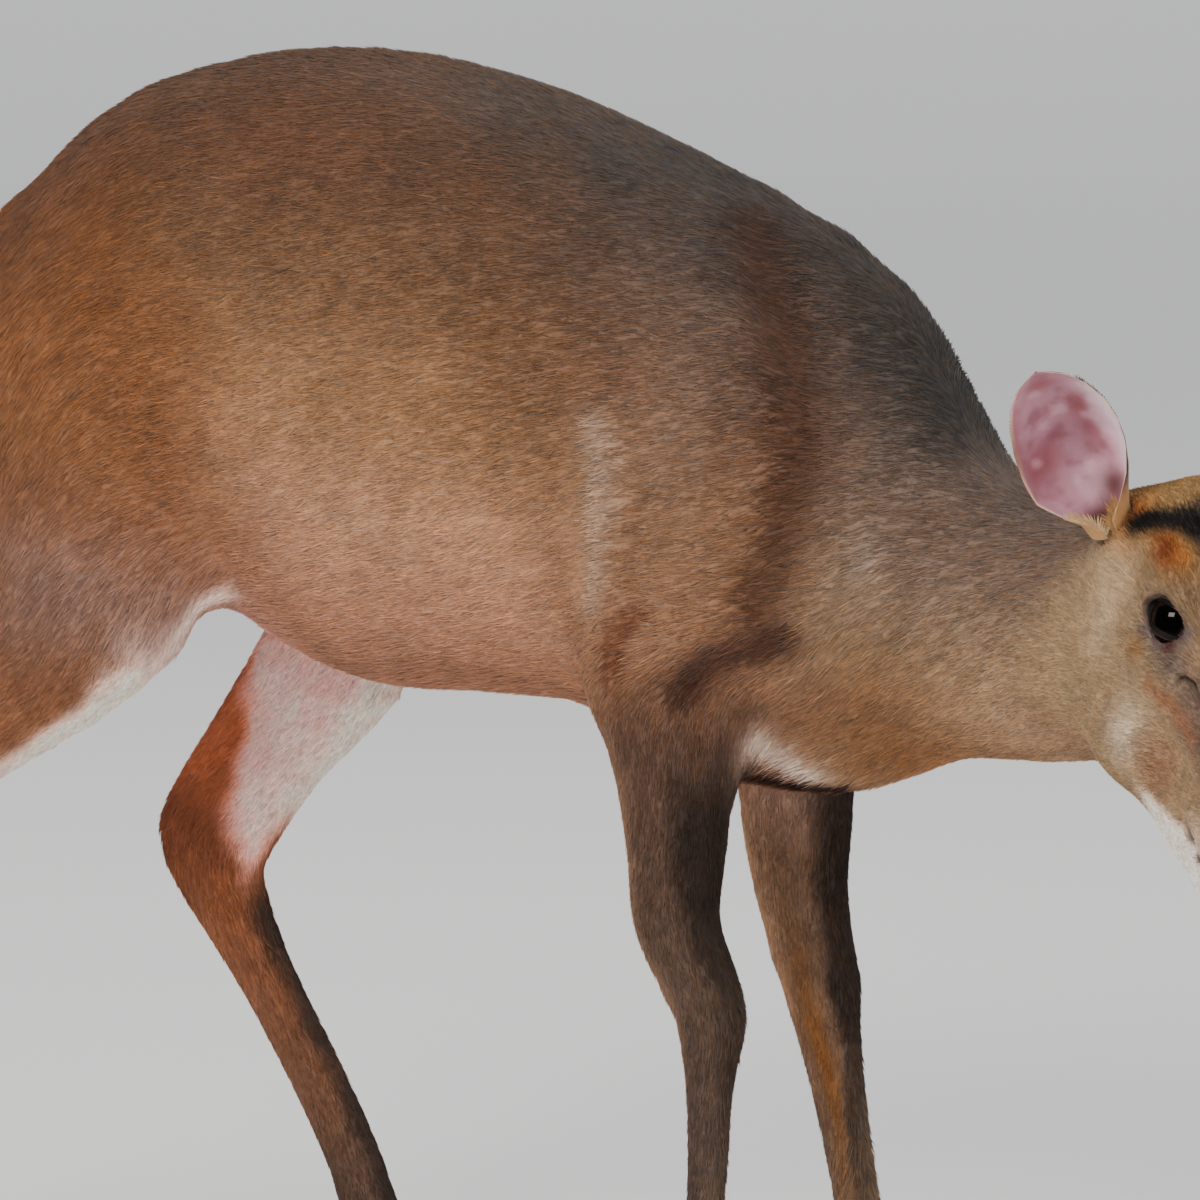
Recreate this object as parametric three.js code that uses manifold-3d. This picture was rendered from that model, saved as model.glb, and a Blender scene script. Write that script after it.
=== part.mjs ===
// A life-size female muntjac, standing with one hind leg back and one forward, its lowered head turned to
// its right.
// Millimetres, +Z up, X forward, Y to the animal's left. The hooves stand on Z = 0.
// The flesh is one smooth field of swept limbs and muscle masses, meshed on a grid and parted with thin cuts.
import * as THREE from "three";
import { mergeVertices } from "three/addons/utils/BufferGeometryUtils.js";
import Module from "manifold-3d";

const wasm = await Module();
wasm.setup();

// Driving sizes
const GAP = 0.3; // between nodes that touch
const TRUNK_CELL = 16.8; // grid of the trunk and neck
const HEAD_CELL = 8.8; // grid of the head
const HEAD_PITCH = 24; // degrees down, along the mouth
const HEAD_YAW = 47; // degrees to the animal's right
const HEAD_ROLL = 14; // degrees, the left side lower
const RIGHT_EYE_PLACE = [314.02, -89.83, 344.61]; // the whole head is hung from this point
const EYE_AT = [77, 24.4, 49.9]; // ahead, aside and above, in the head's frame
const EYE_RADIUS = 11.5;
const EAR_LENGTH = 69;
const EAR_THICKNESS = 2.6;
const HOOF_LENGTH = 34;
const HOOF_HALF_WIDTH = 6.2;

// Small vector helpers on plain arrays
const add = (a, b, k = 1) => [a[0] + b[0] * k, a[1] + b[1] * k, a[2] + b[2] * k];
const sub = (a, b) => [a[0] - b[0], a[1] - b[1], a[2] - b[2]];
const dot = (a, b) => a[0] * b[0] + a[1] * b[1] + a[2] * b[2];
const cross = (a, b) => [a[1] * b[2] - a[2] * b[1], a[2] * b[0] - a[0] * b[2], a[0] * b[1] - a[1] * b[0]];
const length = (a) => Math.hypot(a[0], a[1], a[2]);
const unit = (a) => add([0, 0, 0], a, 1 / length(a));
const mix = (a, b, t) => a + (b - a) * t;
const radians = (d) => (d * Math.PI) / 180;

// A smooth least value: a and b melt into each other where they are within k
function melt(a, b, k) {
  const h = Math.max(k - Math.abs(a - b), 0) / k;
  return Math.min(a, b) - (h * h * k) / 4;
}

// One value of a Catmull-Rom curve through four neighbours
function curve(p0, p1, p2, p3, t) {
  return (
    0.5 *
    (2 * p1 + (p2 - p0) * t + (2 * p0 - 5 * p1 + 4 * p2 - p3) * t * t + (3 * p1 - p0 - 3 * p2 + p3) * t * t * t)
  );
}

// Fills in a list of stations [x, y, z, side, front, back, crest] with a smooth curve, steps to each span,
// and gives each its own axes: tangent, side and front. Crest is how far the front narrows, from 0 to 1.
function thread(stations, steps, sideways = [0, 1, 0]) {
  const last = stations.length - 1;
  const out = [];
  for (let i = 0; i < last; i++)
    for (let s = 0; s < steps + (i === last - 1 ? 1 : 0); s++) {
      const q = [i - 1, i, i + 1, i + 2].map((k) => stations[Math.min(Math.max(k, 0), last)]);
      out.push(q[1].map((_, k) => curve(q[0][k], q[1][k], q[2][k], q[3][k], s / steps)));
    }
  return out.map((s, i) => {
    const tangent = unit(sub(out[Math.min(i + 1, out.length - 1)], out[Math.max(i - 1, 0)]));
    const side = unit(add(sideways, tangent, -dot(sideways, tangent)));
    const [, , , aside, front, back, crest = 0] = s;
    return { at: s.slice(0, 3), side: aside, front, back, crest, tangent, s: side, f: cross(tangent, side) };
  });
}

// Distance to a swept limb: negative inside
function sweep(stations, steps = 5, sideways) {
  const dense = thread(stations, steps, sideways);
  const spans = dense.slice(1).map((b, i) => {
    const a = dense[i];
    const along = sub(b.at, a.at);
    return { a, b, along, square: dot(along, along) };
  });
  const reach = Math.max(...dense.map((d) => Math.max(d.side, d.front, d.back))) + 60;
  const low = [0, 1, 2].map((k) => Math.min(...dense.map((d) => d.at[k])) - reach);
  const high = [0, 1, 2].map((k) => Math.max(...dense.map((d) => d.at[k])) + reach);
  return (p) => {
    if (p.some((v, k) => v < low[k] || v > high[k])) return 60;
    let best = 1e9;
    for (const { a, b, along, square } of spans) {
      const from = sub(p, a.at);
      const t = Math.min(Math.max(dot(from, along) / square, 0), 1);
      const r = add(from, along, -t);
      const far = length(r);
      const fore = dot(r, a.f) * (1 - t) + dot(r, b.f) * t;
      const deep = fore > 0 ? mix(a.front, b.front, t) : mix(a.back, b.back, t);
      const rise = Math.min(Math.max(fore / deep, 0), 1);
      const side = mix(a.side, b.side, t) * (1 - mix(a.crest, b.crest, t) * rise);
      const aside = dot(r, a.s) * (1 - t) + dot(r, b.s) * t;
      const past = dot(r, a.tangent) * (1 - t) + dot(r, b.tangent) * t;
      const end = Math.min(side, deep);
      const share = Math.hypot(aside / side, fore / deep, past / end);
      const d = share > 1e-6 ? far - far / share : -end;
      if (d < best) best = d;
    }
    return best;
  };
}

// Distance to an ellipsoid with its own axes, given as rows
function mass(at, radii, axes = [[1, 0, 0], [0, 1, 0], [0, 0, 1]]) {
  return (p) => {
    const r = sub(p, at);
    const share = Math.hypot(...axes.map((a, k) => dot(r, a) / radii[k]));
    return share > 1e-6 ? length(r) * (1 - 1 / share) : -Math.min(...radii);
  };
}

// Axes turned about Y by some degrees: positive tips the front down
function tipped(degrees) {
  const c = Math.cos(radians(degrees));
  const s = Math.sin(radians(degrees));
  return [[c, 0, -s], [0, 1, 0], [s, 0, c]];
}

// Trunk: stations along X of the belly, back and flanks: x, y, centre height, half width, up, down
const TRUNK = [
  [-288, 0, 408, 26, 32, 44, 0.2],
  [-264, 0, 412, 48, 61, 58, 0.2],
  [-215, 0, 415, 68, 106, 84, 0.2],
  [-160, 0, 414, 79, 124, 99, 0.2],
  [-100, 0, 411, 86, 129, 128, 0.15],
  [-40, 0, 406, 88, 122, 124, 0.15],
  [20, 0, 396, 82, 110, 117, 0.25],
  [75, 0, 374, 70, 108, 114, 0.4],
  [115, 0, 360, 56, 93, 108, 0.42],
  [140, 0, 354, 43, 60, 94, 0.42],
];
const NECK = [
  [92, 0, 362, 48, 86, 92, 0.42],
  [135, 0, 354, 44, 70, 86, 0.42],
  [170, -6, 345, 40, 50, 75, 0.42],
  [205, -15, 337, 37, 45, 64, 0.4],
  [240, -26, 334, 36, 41, 56, 0.3],
  [278, -36, 340, 35, 38, 51, 0.2],
];
// Legs: x, y, z, half width, front, back, from the body down
const FORE_RIGHT = [
  [68, -58, 318, 27, 38, 30],
  [70, -57, 270, 22, 27, 24],
  [70, -56, 235, 19, 23, 18],
  [71, -54, 205, 15.5, 18, 18],
  [81, -52, 178, 13, 17.5, 13.5],
  [84, -51, 162, 12, 15, 12.5],
  [84, -50, 138, 9, 10, 10.5],
  [83, -50, 105, 7.6, 9, 9.4],
  [81, -50, 72, 8, 9, 9.5],
  [80, -50, 54, 9.6, 9.8, 11],
  [86, -50, 36, 9, 9, 9.5],
  [93, -50, 22, 10.5, 10, 10.5],
];
const FORE_LEFT = [
  [58, 58, 318, 27, 40, 36],
  [60, 55, 270, 22, 29, 29.5],
  [62, 53, 235, 19, 23, 27],
  [66, 51, 205, 15.5, 18, 23.5],
  [73, 50, 178, 13.3, 15, 20.5],
  [77, 50, 162, 12.3, 13.5, 19.5],
  [82, 50, 138, 10, 10.5, 16.5],
  [89, 50, 105, 8.6, 8.6, 14.5],
  [95, 50, 72, 8.8, 9, 13.5],
  [98, 50, 54, 9.8, 9.8, 12.5],
  [105, 50, 36, 9, 9, 9.5],
  [112, 50, 22, 10.5, 10, 10.5],
];
const HIND_RIGHT = [
  [-216, -42, 420, 34, 54, 54],
  [-212, -46, 395, 34, 66, 68],
  [-205, -54, 345, 29, 52, 56],
  [-214, -58, 300, 24, 34, 46],
  [-258, -58, 262, 19, 23, 30],
  [-305, -55, 229, 14, 16, 22],
  [-338, -53, 204, 12, 17, 20],
  [-349, -52, 178, 10, 13.5, 14],
  [-349, -51, 140, 8.6, 10.5, 11.5],
  [-348, -51, 98, 8.2, 10, 11],
  [-347, -51, 68, 8.8, 10.5, 11.5],
  [-345, -51, 50, 10, 10.5, 11.5],
  [-337, -51, 34, 9.2, 9.2, 9.8],
  [-330, -51, 22, 10.5, 10, 10.5],
];
const HIND_LEFT = [
  [-204, 42, 420, 34, 54, 58],
  [-184, 48, 400, 33, 58, 66],
  [-160, 54, 370, 28, 46, 60],
  [-144, 55, 330, 25, 38, 68],
  [-162, 55, 286, 20, 33, 41],
  [-198, 53, 244, 15, 28, 30],
  [-226, 51, 208, 12.5, 30, 26.5],
  [-227, 51, 193, 11.8, 26, 25.5],
  [-221, 50, 176, 10.5, 22, 18],
  [-200, 50, 144, 9, 14.5, 14],
  [-173, 50, 104, 8.6, 12.5, 14.5],
  [-155, 50, 72, 9, 12.5, 14.5],
  [-145, 50, 50, 10, 11.5, 13.5],
  [-133, 50, 34, 9.2, 9.5, 10],
  [-124, 50, 22, 10.5, 10, 10.5],
];
const TAIL = [
  [-268, 0, 457, 24, 22, 22],
  [-296, 0, 447, 20, 15, 16],
  [-318, 0, 417, 18, 10, 12],
  [-328, 0, 380, 19, 9, 12],
  [-333, 0, 345, 17, 8, 10],
  [-335, 0, 312, 7, 5, 5],
];

const STEPS = 3; // rings to each span between two stations

// Muscle masses that the sweeps don't give, for the right side and mirrored: middle and radii
const mirrored = (at) => [at[0], -at[1], at[2]];
const SHOULDER_BLADE = { at: [98, -43, 384], radii: [38, 24, 68], tip: -20 };
const UPPER_ARM = { at: [94, -48, 332], radii: [52, 25, 34], tip: 26 };
const ELBOW = { at: [54, -57, 306], radii: [18, 16, 22], tip: 0 };
const BUTTOCK = { at: [-248, -38, 380], radii: [40, 28, 56], tip: -14 };
const STIFLE = { at: [-186, -58, 318], radii: [22, 18, 26], tip: 0 };
const RIGHT_ONLY = [STIFLE];
const BOTH_SIDES = [SHOULDER_BLADE, UPPER_ARM, ELBOW, BUTTOCK];

// The head's frame: a along the mouth, b to the left, c up
const yaw = radians(HEAD_YAW);
const pitch = radians(HEAD_PITCH);
const roll = radians(HEAD_ROLL);
const AHEAD = [Math.cos(pitch) * Math.cos(yaw), -Math.cos(pitch) * Math.sin(yaw), -Math.sin(pitch)];
const LEVEL = [Math.sin(yaw), Math.cos(yaw), 0];
const LEFTWARD = add(add([0, 0, 0], LEVEL, Math.cos(roll)), cross(AHEAD, LEVEL), -Math.sin(roll));
const UPWARD = cross(AHEAD, LEFTWARD);
const rightEye = [EYE_AT[0], -EYE_AT[1], EYE_AT[2]];
const HEAD_AT = [AHEAD, LEFTWARD, UPWARD].reduce((at, way, k) => add(at, way, -rightEye[k]), RIGHT_EYE_PLACE);
const headPoint = (p) => add(add(add(HEAD_AT, AHEAD, p[0]), LEFTWARD, p[1]), UPWARD, p[2]);
const headWay = (v) => add(add(add([0, 0, 0], AHEAD, v[0]), LEFTWARD, v[1]), UPWARD, v[2]);
const inHead = (p) => {
  const r = sub(p, HEAD_AT);
  return [dot(r, AHEAD), dot(r, LEFTWARD), dot(r, UPWARD)];
};

// Head sizes, in its own frame: ahead, aside, above, half width, up, down
const FACE = [
  [38, 0, 44, 37, 37, 34],
  [68, 0, 42, 36, 38, 34],
  [98, 0, 35, 29, 33, 30],
  [124, 0, 26, 22.5, 28, 22],
  [150, 0, 19, 18.5, 23, 18],
  [172, 0, 15, 17.5, 19, 15],
  [186, 0, 14, 16, 15, 12],
];
const JAW = [
  [40, 0, 0, 27, 28, 30],
  [68, 0, -1, 26, 24, 29],
  [98, 0, -3, 23, 19, 25],
  [128, 0, -4, 20, 14, 21],
  [158, 0, -5, 17, 10, 17.5],
  [178, 0, -4, 13, 8, 13],
];
const CRANIUM = { at: [44, 0, 50], radii: [52, 40, 39] };
const CHEEK = { at: [54, 22, 8], radii: [40, 15, 34] };
const BROW = { at: [74, 27, 58], radii: [24, 11, 13] };
const KNOB = { at: [50, 19, 76], radii: [11, 8, 9] };
const NOSTRIL_WING = { at: [189, 8.5, 19], radii: [9, 7, 8] };
const LIP = { at: [170, 12.5, 2.5], radii: [25, 7.5, 9] };
const EAR_MOUND = { at: [26, 33, 55], radii: [19, 14, 17] };

function headField() {
  const local = [sweep(FACE, 4), sweep(JAW, 4), mass(CRANIUM.at, CRANIUM.radii)];
  const pairs = [[CHEEK, 14], [BROW, 8], [KNOB, 6], [NOSTRIL_WING, 5], [LIP, 6], [EAR_MOUND, 12]];
  const sides = pairs.map(([m, k]) => [mass(m.at, m.radii), k]);
  return (p) => {
    const q = inHead(p);
    let d = melt(local[0](q), local[1](q), 14);
    d = melt(d, local[2](q), 12);
    const folded = [q[0], Math.abs(q[1]), q[2]];
    for (const [f, k] of sides) d = melt(d, f(folded), k);
    return d;
  };
}

function bodyField() {
  const trunk = sweep(TRUNK, 4);
  const neck = sweep(NECK, 4);
  const head = headField();
  const tail = sweep(TAIL, STEPS);
  const legs = [FORE_RIGHT, FORE_LEFT, HIND_RIGHT, HIND_LEFT].map((s) => sweep(s, STEPS));
  const muscle = (m, at) => mass(at, m.radii, tipped(m.tip));
  const masses = [
    ...BOTH_SIDES.flatMap((m) => [muscle(m, m.at), muscle(m, mirrored(m.at))]),
    ...RIGHT_ONLY.map((m) => muscle(m, m.at)),
  ];
  return (p) => {
    let core = melt(trunk(p), neck(p), 40);
    for (const f of masses) core = melt(core, f(p), 14);
    core = melt(core, head(p), 16);
    core = melt(core, tail(p), 14);
    return Math.min(...legs.map((f) => melt(core, f(p), 24)));
  };
}

// The way in which a field grows fastest
function slope(field, p, h = 0.5) {
  return [0, 1, 2].map((k) => {
    const q = [...p];
    q[k] += h;
    const up = field(q);
    q[k] -= 2 * h;
    return (up - field(q)) / (2 * h);
  });
}

// Moves a point onto the surface of a field, by no more than a limit
function settle(field, p, limit) {
  let q = p;
  for (let i = 0; i < 4; i++) {
    const g = slope(field, q);
    const size = Math.max(dot(g, g), 0.2);
    const step = add(q, g, -field(q) / size);
    const moved = sub(step, p);
    q = length(moved) > limit ? add(p, moved, limit / length(moved)) : step;
  }
  return q;
}

// The corners, edges and faces of a cell of the grid. Corner c is at (c & 1, c >> 1 & 1, c >> 2 & 1).
const CORNERS = [0, 1, 2, 3, 4, 5, 6, 7].map((c) => [c & 1, (c >> 1) & 1, (c >> 2) & 1]);
const EDGES = [];
for (const bit of [1, 2, 4]) for (let c = 0; c < 8; c++) if (!(c & bit)) EDGES.push([c, c | bit]);
const cornersWith = (bit, on) => [0, 1, 2, 3, 4, 5, 6, 7].filter((c) => (c & bit) === on);
const FACES = [1, 2, 4].flatMap((bit) => [0, bit].map((on) => cornersWith(bit, on)));
const FACE_EDGES = FACES.map((f) => EDGES.map((e, i) => i).filter((i) => EDGES[i].every((c) => f.includes(c))));

// The crossed edges of a cell, grouped into the separate sheets of surface that pass through it
function sheets(v) {
  const crossed = EDGES.map(([a, b]) => v[a] < 0 !== v[b] < 0);
  const group = EDGES.map((_, i) => i);
  const join = (a, b) => {
    const [from, to] = [group[a], group[b]];
    group.forEach((g, i) => {
      if (g === from) group[i] = to;
    });
  };
  for (const face of FACE_EDGES) {
    const cut = face.filter((i) => crossed[i]);
    if (cut.length === 2) join(cut[0], cut[1]);
    if (cut.length < 4) continue;
    for (const a of cut)
      for (const b of cut) if (a < b && EDGES[a].some((c) => v[c] < 0 && EDGES[b].includes(c))) join(a, b);
  }
  const found = new Map();
  crossed.forEach((is, i) => {
    if (is) found.set(group[i], [...(found.get(group[i]) ?? []), i]);
  });
  return [...found.values()];
}

// Meshes the surface of a field inside a box on a grid, with one vertex for each sheet in a cell
function gridMesh(field, low, high, cell, outward = (p) => p) {
  const n = [0, 1, 2].map((k) => Math.ceil((high[k] - low[k]) / cell) + 1);
  const place = (i, j, k) => [low[0] + i * cell, low[1] + j * cell, low[2] + k * cell];
  const index = (i, j, k) => (i * n[1] + j) * n[2] + k;
  const values = new Float64Array(n[0] * n[1] * n[2]).fill(cell);
  for (let i = 1; i < n[0] - 1; i++)
    for (let j = 1; j < n[1] - 1; j++)
      for (let k = 1; k < n[2] - 1; k++) values[index(i, j, k)] = field(place(i, j, k));
  const vertexOf = new Map();
  const points = [];
  for (let i = 0; i < n[0] - 1; i++)
    for (let j = 0; j < n[1] - 1; j++)
      for (let k = 0; k < n[2] - 1; k++) {
        const v = CORNERS.map((c) => values[index(i + c[0], j + c[1], k + c[2])]);
        if (v.every((x) => x < 0) || v.every((x) => x >= 0)) continue;
        for (const sheet of sheets(v)) {
          const crossings = sheet.map((e) => {
            const [a, b] = EDGES[e];
            return CORNERS[a].map((x, m) => mix(x, CORNERS[b][m], v[a] / (v[a] - v[b])));
          });
          const middle = [0, 1, 2].map((m) => crossings.reduce((s, c) => s + c[m], 0) / crossings.length);
          for (const e of sheet) vertexOf.set(index(i, j, k) * 12 + e, points.length);
          points.push(settle(field, add(place(i, j, k), middle, cell), 0.5 * cell));
        }
      }
  const triangles = [];
  const steps = [[1, 0, 0], [0, 1, 0], [0, 0, 1]];
  for (let i = 0; i < n[0] - 1; i++)
    for (let j = 0; j < n[1] - 1; j++)
      for (let k = 0; k < n[2] - 1; k++)
        steps.forEach((step, axis) => {
          const here = values[index(i, j, k)];
          const there = values[index(i + step[0], j + step[1], k + step[2])];
          if (here < 0 === there < 0) return;
          const [u, w] = [(axis + 1) % 3, (axis + 2) % 3];
          const ring = [[0, 0], [1, 0], [1, 1], [0, 1]].map(([a, b]) => {
            const cornerBits = (a << u) | (b << w);
            const edge = EDGES.findIndex((e) => e[0] === cornerBits && e[1] === (cornerBits | (1 << axis)));
            const at = [i, j, k];
            at[u] -= a;
            at[w] -= b;
            return vertexOf.get(index(...at) * 12 + edge);
          });
          if (here >= 0) ring.reverse();
          const across = (a, b) => length(sub(points[ring[a]], points[ring[b]]));
          if (across(0, 2) < across(1, 3)) triangles.push(ring[0], ring[1], ring[2], ring[0], ring[2], ring[3]);
          else triangles.push(ring[0], ring[1], ring[3], ring[1], ring[2], ring[3]);
        });
  return solid(points.map(outward), triangles);
}

// A closed solid from points and triangles
function solid(points, triangles) {
  return new wasm.Manifold(
    new wasm.Mesh({
      numProp: 3,
      vertProperties: new Float32Array(points.flat()),
      triVerts: new Uint32Array(triangles),
    }),
  );
}

// A closed solid from rings of equal count, each a list of points seen counter-clockwise from ahead of the sweep
function loft(rings, closeEnds = fanEnd) {
  const count = rings[0].length;
  const points = rings.flat();
  const triangles = [];
  for (let r = 0; r + 1 < rings.length; r++)
    for (let i = 0; i < count; i++) {
      const a = r * count + i;
      const b = r * count + ((i + 1) % count);
      triangles.push(a, b, b + count, a, b + count, a + count);
    }
  closeEnds(points, triangles, 0, count, true);
  closeEnds(points, triangles, (rings.length - 1) * count, count, false);
  return solid(points, triangles);
}

// Closes an end with triangles that meet at the middle of its ring
function fanEnd(points, triangles, first, count, isStart) {
  const ring = points.slice(first, first + count);
  const middle = [0, 1, 2].map((k) => ring.reduce((s, p) => s + p[k], 0) / count);
  points.push(middle);
  for (let i = 0; i < count; i++) {
    const a = first + i;
    const b = first + ((i + 1) % count);
    if (isStart) triangles.push(points.length - 1, b, a);
    else triangles.push(points.length - 1, a, b);
  }
}

// Closes the end of a ring that is a thin band, its first half outside and its second half inside
function bandEnd(points, triangles, first, count, isStart) {
  for (let i = 0; i + 1 < count / 2; i++) {
    const [a, b, c, d] = [first + i, first + i + 1, first + count - 2 - i, first + count - 1 - i];
    if (isStart) triangles.push(a, c, b, a, d, c);
    else triangles.push(a, b, c, a, c, d);
  }
}

// A ring of points round a station, on its own ellipse or, where a field is given, out on the field's surface
function ringOf(d, sides, grow = 0, field = null) {
  const ring = [];
  for (let i = 0; i < sides; i++) {
    const angle = (2 * Math.PI * i) / sides;
    const fore = Math.sin(angle);
    const deep = (fore > 0 ? d.front : d.back) + grow;
    const spoke = add(add([0, 0, 0], d.s, (d.side + grow) * Math.cos(angle)), d.f, deep * fore);
    let reach = 1;
    if (field) {
      let [inner, outer] = [0.5, 1.5];
      for (let n = 0; n < 12; n++) {
        reach = (inner + outer) / 2;
        if (field(add(d.at, spoke, reach)) < 0) inner = reach;
        else outer = reach;
      }
    }
    ring.push(add(d.at, spoke, reach));
  }
  return ring;
}

// A limb from one ring of its thread to another, its cut ends drawn back by half a gap
function limb(dense, from, to, sides, { grow = 0, field = null, trim = [GAP / 2, GAP / 2] } = {}) {
  const part = dense.slice(from, to + 1);
  const rings = part.map((d) => ringOf(d, sides, grow, field));
  const shift = (ring, d, by) => ring.map((p) => add(p, d.tangent, by));
  rings[0] = shift(rings[0], part[0], trim[0]);
  rings[rings.length - 1] = shift(rings[rings.length - 1], part[part.length - 1], -trim[1]);
  return loft(rings);
}

// A three.js geometry as a solid, set down by a matrix
function solidOf(geometry, matrix = new THREE.Matrix4()) {
  const g = geometry.clone().applyMatrix4(matrix);
  g.deleteAttribute("normal");
  g.deleteAttribute("uv");
  const merged = mergeVertices(g, 1e-4);
  return new wasm.Manifold(
    new wasm.Mesh({
      numProp: 3,
      vertProperties: merged.attributes.position.array,
      triVerts: new Uint32Array(merged.index.array),
    }),
  );
}

// A matrix with given axes and place
function frameAt(x, y, z, at) {
  return new THREE.Matrix4().makeBasis(...[x, y, z].map((v) => new THREE.Vector3(...v))).setPosition(...at);
}

// Everything on the far side of a plane, the way its normal points, less a small gap
const WORLD = 2000;
function beyond(at, normal, gap = GAP / 2) {
  const z = unit(normal);
  const x = unit(cross(Math.abs(z[0]) < 0.9 ? [1, 0, 0] : [0, 1, 0], z));
  const middle = add(at, z, WORLD / 2 + gap);
  return solidOf(new THREE.BoxGeometry(WORLD, WORLD, WORLD), frameAt(x, cross(z, x), z, middle));
}
const behind = (at, normal) => beyond(at, add([0, 0, 0], normal, -1));

function ball(at, radii, axes = [AHEAD, LEFTWARD, UPWARD], rows = 10) {
  const shape = new THREE.SphereGeometry(1, rows * 2, rows).scale(...radii);
  return solidOf(shape, frameAt(...axes, at));
}

// Of the pieces of a solid, the largest
function largest(body) {
  return body.decompose().reduce((a, b) => (b.volume() > a.volume() ? b : a));
}

// Where the trunk is parted: a point and the way towards the head or the foot
const CUTS = {
  rump: { at: [-138, 0, 400], way: [1, 0, 0.12] },
  chest: { at: [22, 0, 400], way: [1, 0, 0.1] },
  neck: { at: [158, -4, 352], way: [0.96, -0.1, -0.42] },
  poll: { at: headPoint([14, 0, 30]), way: headWay([1, 0, 0.12]) },
};
// Each leg: the station where it leaves the body, the station of its wrist or hock
const LEGS = [
  { name: "right", pair: "fore", stations: FORE_RIGHT, top: 2, joint: 4 },
  { name: "left", pair: "fore", stations: FORE_LEFT, top: 2, joint: 4 },
  { name: "right", pair: "hind", stations: HIND_RIGHT, top: 4, joint: 7 },
  { name: "left", pair: "hind", stations: HIND_LEFT, top: 4, joint: 8 },
];
const LEG_SIDES = 13;
const SLEEVE = 14; // how far a leg's cutter stands out round it
const TAIL_CUT = 2; // ring of the tail where it leaves the rump
const LOCKS = 12; // of long hair, below the tail
const LOCK_LENGTH = 34;

const built = [];
function keep(name, body, colour, roughness = 0.8) {
  const mesh = largest(body).getMesh();
  const geometry = new THREE.BufferGeometry();
  geometry.setAttribute("position", new THREE.BufferAttribute(new Float32Array(mesh.vertProperties), 3));
  geometry.setIndex(new THREE.BufferAttribute(new Uint32Array(mesh.triVerts), 1));
  const material = new THREE.MeshStandardMaterial({ color: colour, roughness, metalness: 0 });
  const made = new THREE.Mesh(geometry, material);
  made.name = name;
  built.push(made);
}

// Colours
const BACK = 0x8a6038;
const FLANK = 0x9c6c42;
const RUMP = 0x9a5a2c;
const FACE_FUR = 0xb0773f;
const LEG_FUR = 0x6b4a33;
const EAR_SKIN = 0xc99a8a;
const HORN = 0x2b2320;
const EYE_GLASS = 0x120c0a;
const WET_NOSE = 0x1d1918;

const field = bodyField();

// The hooves of a foot: two claws side by side, flat below, pointed ahead
const HOOF_TOP = 20;
const SPLAY = 4; // degrees each claw turns outward
const CLAW_GAP = 1.2;
const CLAW_RING = 10;
function claw(foot, outward) {
  const levels = [0, 5, 11, 16, HOOF_TOP - GAP / 2];
  const rings = levels.map((z) => {
    const rise = z / HOOF_TOP;
    const half = HOOF_HALF_WIDTH * (1 - 0.2 * rise);
    const toe = mix(0.6, 0.27, rise) * HOOF_LENGTH;
    const heel = mix(0.4, 0.31, rise) * HOOF_LENGTH;
    const ring = [];
    for (let i = 0; i < CLAW_RING; i++) {
      const angle = (2 * Math.PI * i) / CLAW_RING;
      const along = Math.cos(angle);
      const pointed = along > 0 ? 1 - 0.35 * along * along : 1;
      ring.push([along * (along > 0 ? toe : heel), half * Math.sin(angle) * pointed, z]);
    }
    return ring;
  });
  const turn = new THREE.Matrix4().makeRotationZ(radians(SPLAY) * outward);
  const aside = outward * (HOOF_HALF_WIDTH + CLAW_GAP / 2);
  const placed = rings.map((ring) =>
    ring.map((p) => new THREE.Vector3(p[0], p[1] + aside, p[2]).applyMatrix4(turn).toArray()),
  );
  return loft(placed.map((ring) => ring.map((p) => add(p, [foot[0], foot[1], 0]))));
}

// The small claws behind the fetlock
const DEWCLAW = { height: 39, aside: 6.5, length: 15, radius: 3.8 };
function dewclaw(dense, outward) {
  const off = (station) => Math.abs(station.at[2] - DEWCLAW.height);
  const d = dense.reduce((a, b) => (off(b) < off(a) ? b : a));
  const root = add(add(d.at, d.s, DEWCLAW.aside * outward), d.f, -d.back + 4);
  const way = unit([-0.62, 0.1 * outward, -0.78]);
  const rings = [0, 0.45, 0.8, 1].map((t) => {
    const radius = DEWCLAW.radius * Math.sqrt(1.02 - t * t);
    return [0, 1, 2, 3, 4, 5, 6].map((i) => {
      const angle = (2 * Math.PI * i) / 7;
      const side = [0, 1, 0];
      const deep = cross(way, side);
      const at = add(root, way, DEWCLAW.length * t);
      return add(add(at, side, radius * Math.cos(angle)), deep, radius * Math.sin(angle));
    });
  });
  return loft(rings);
}

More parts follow.
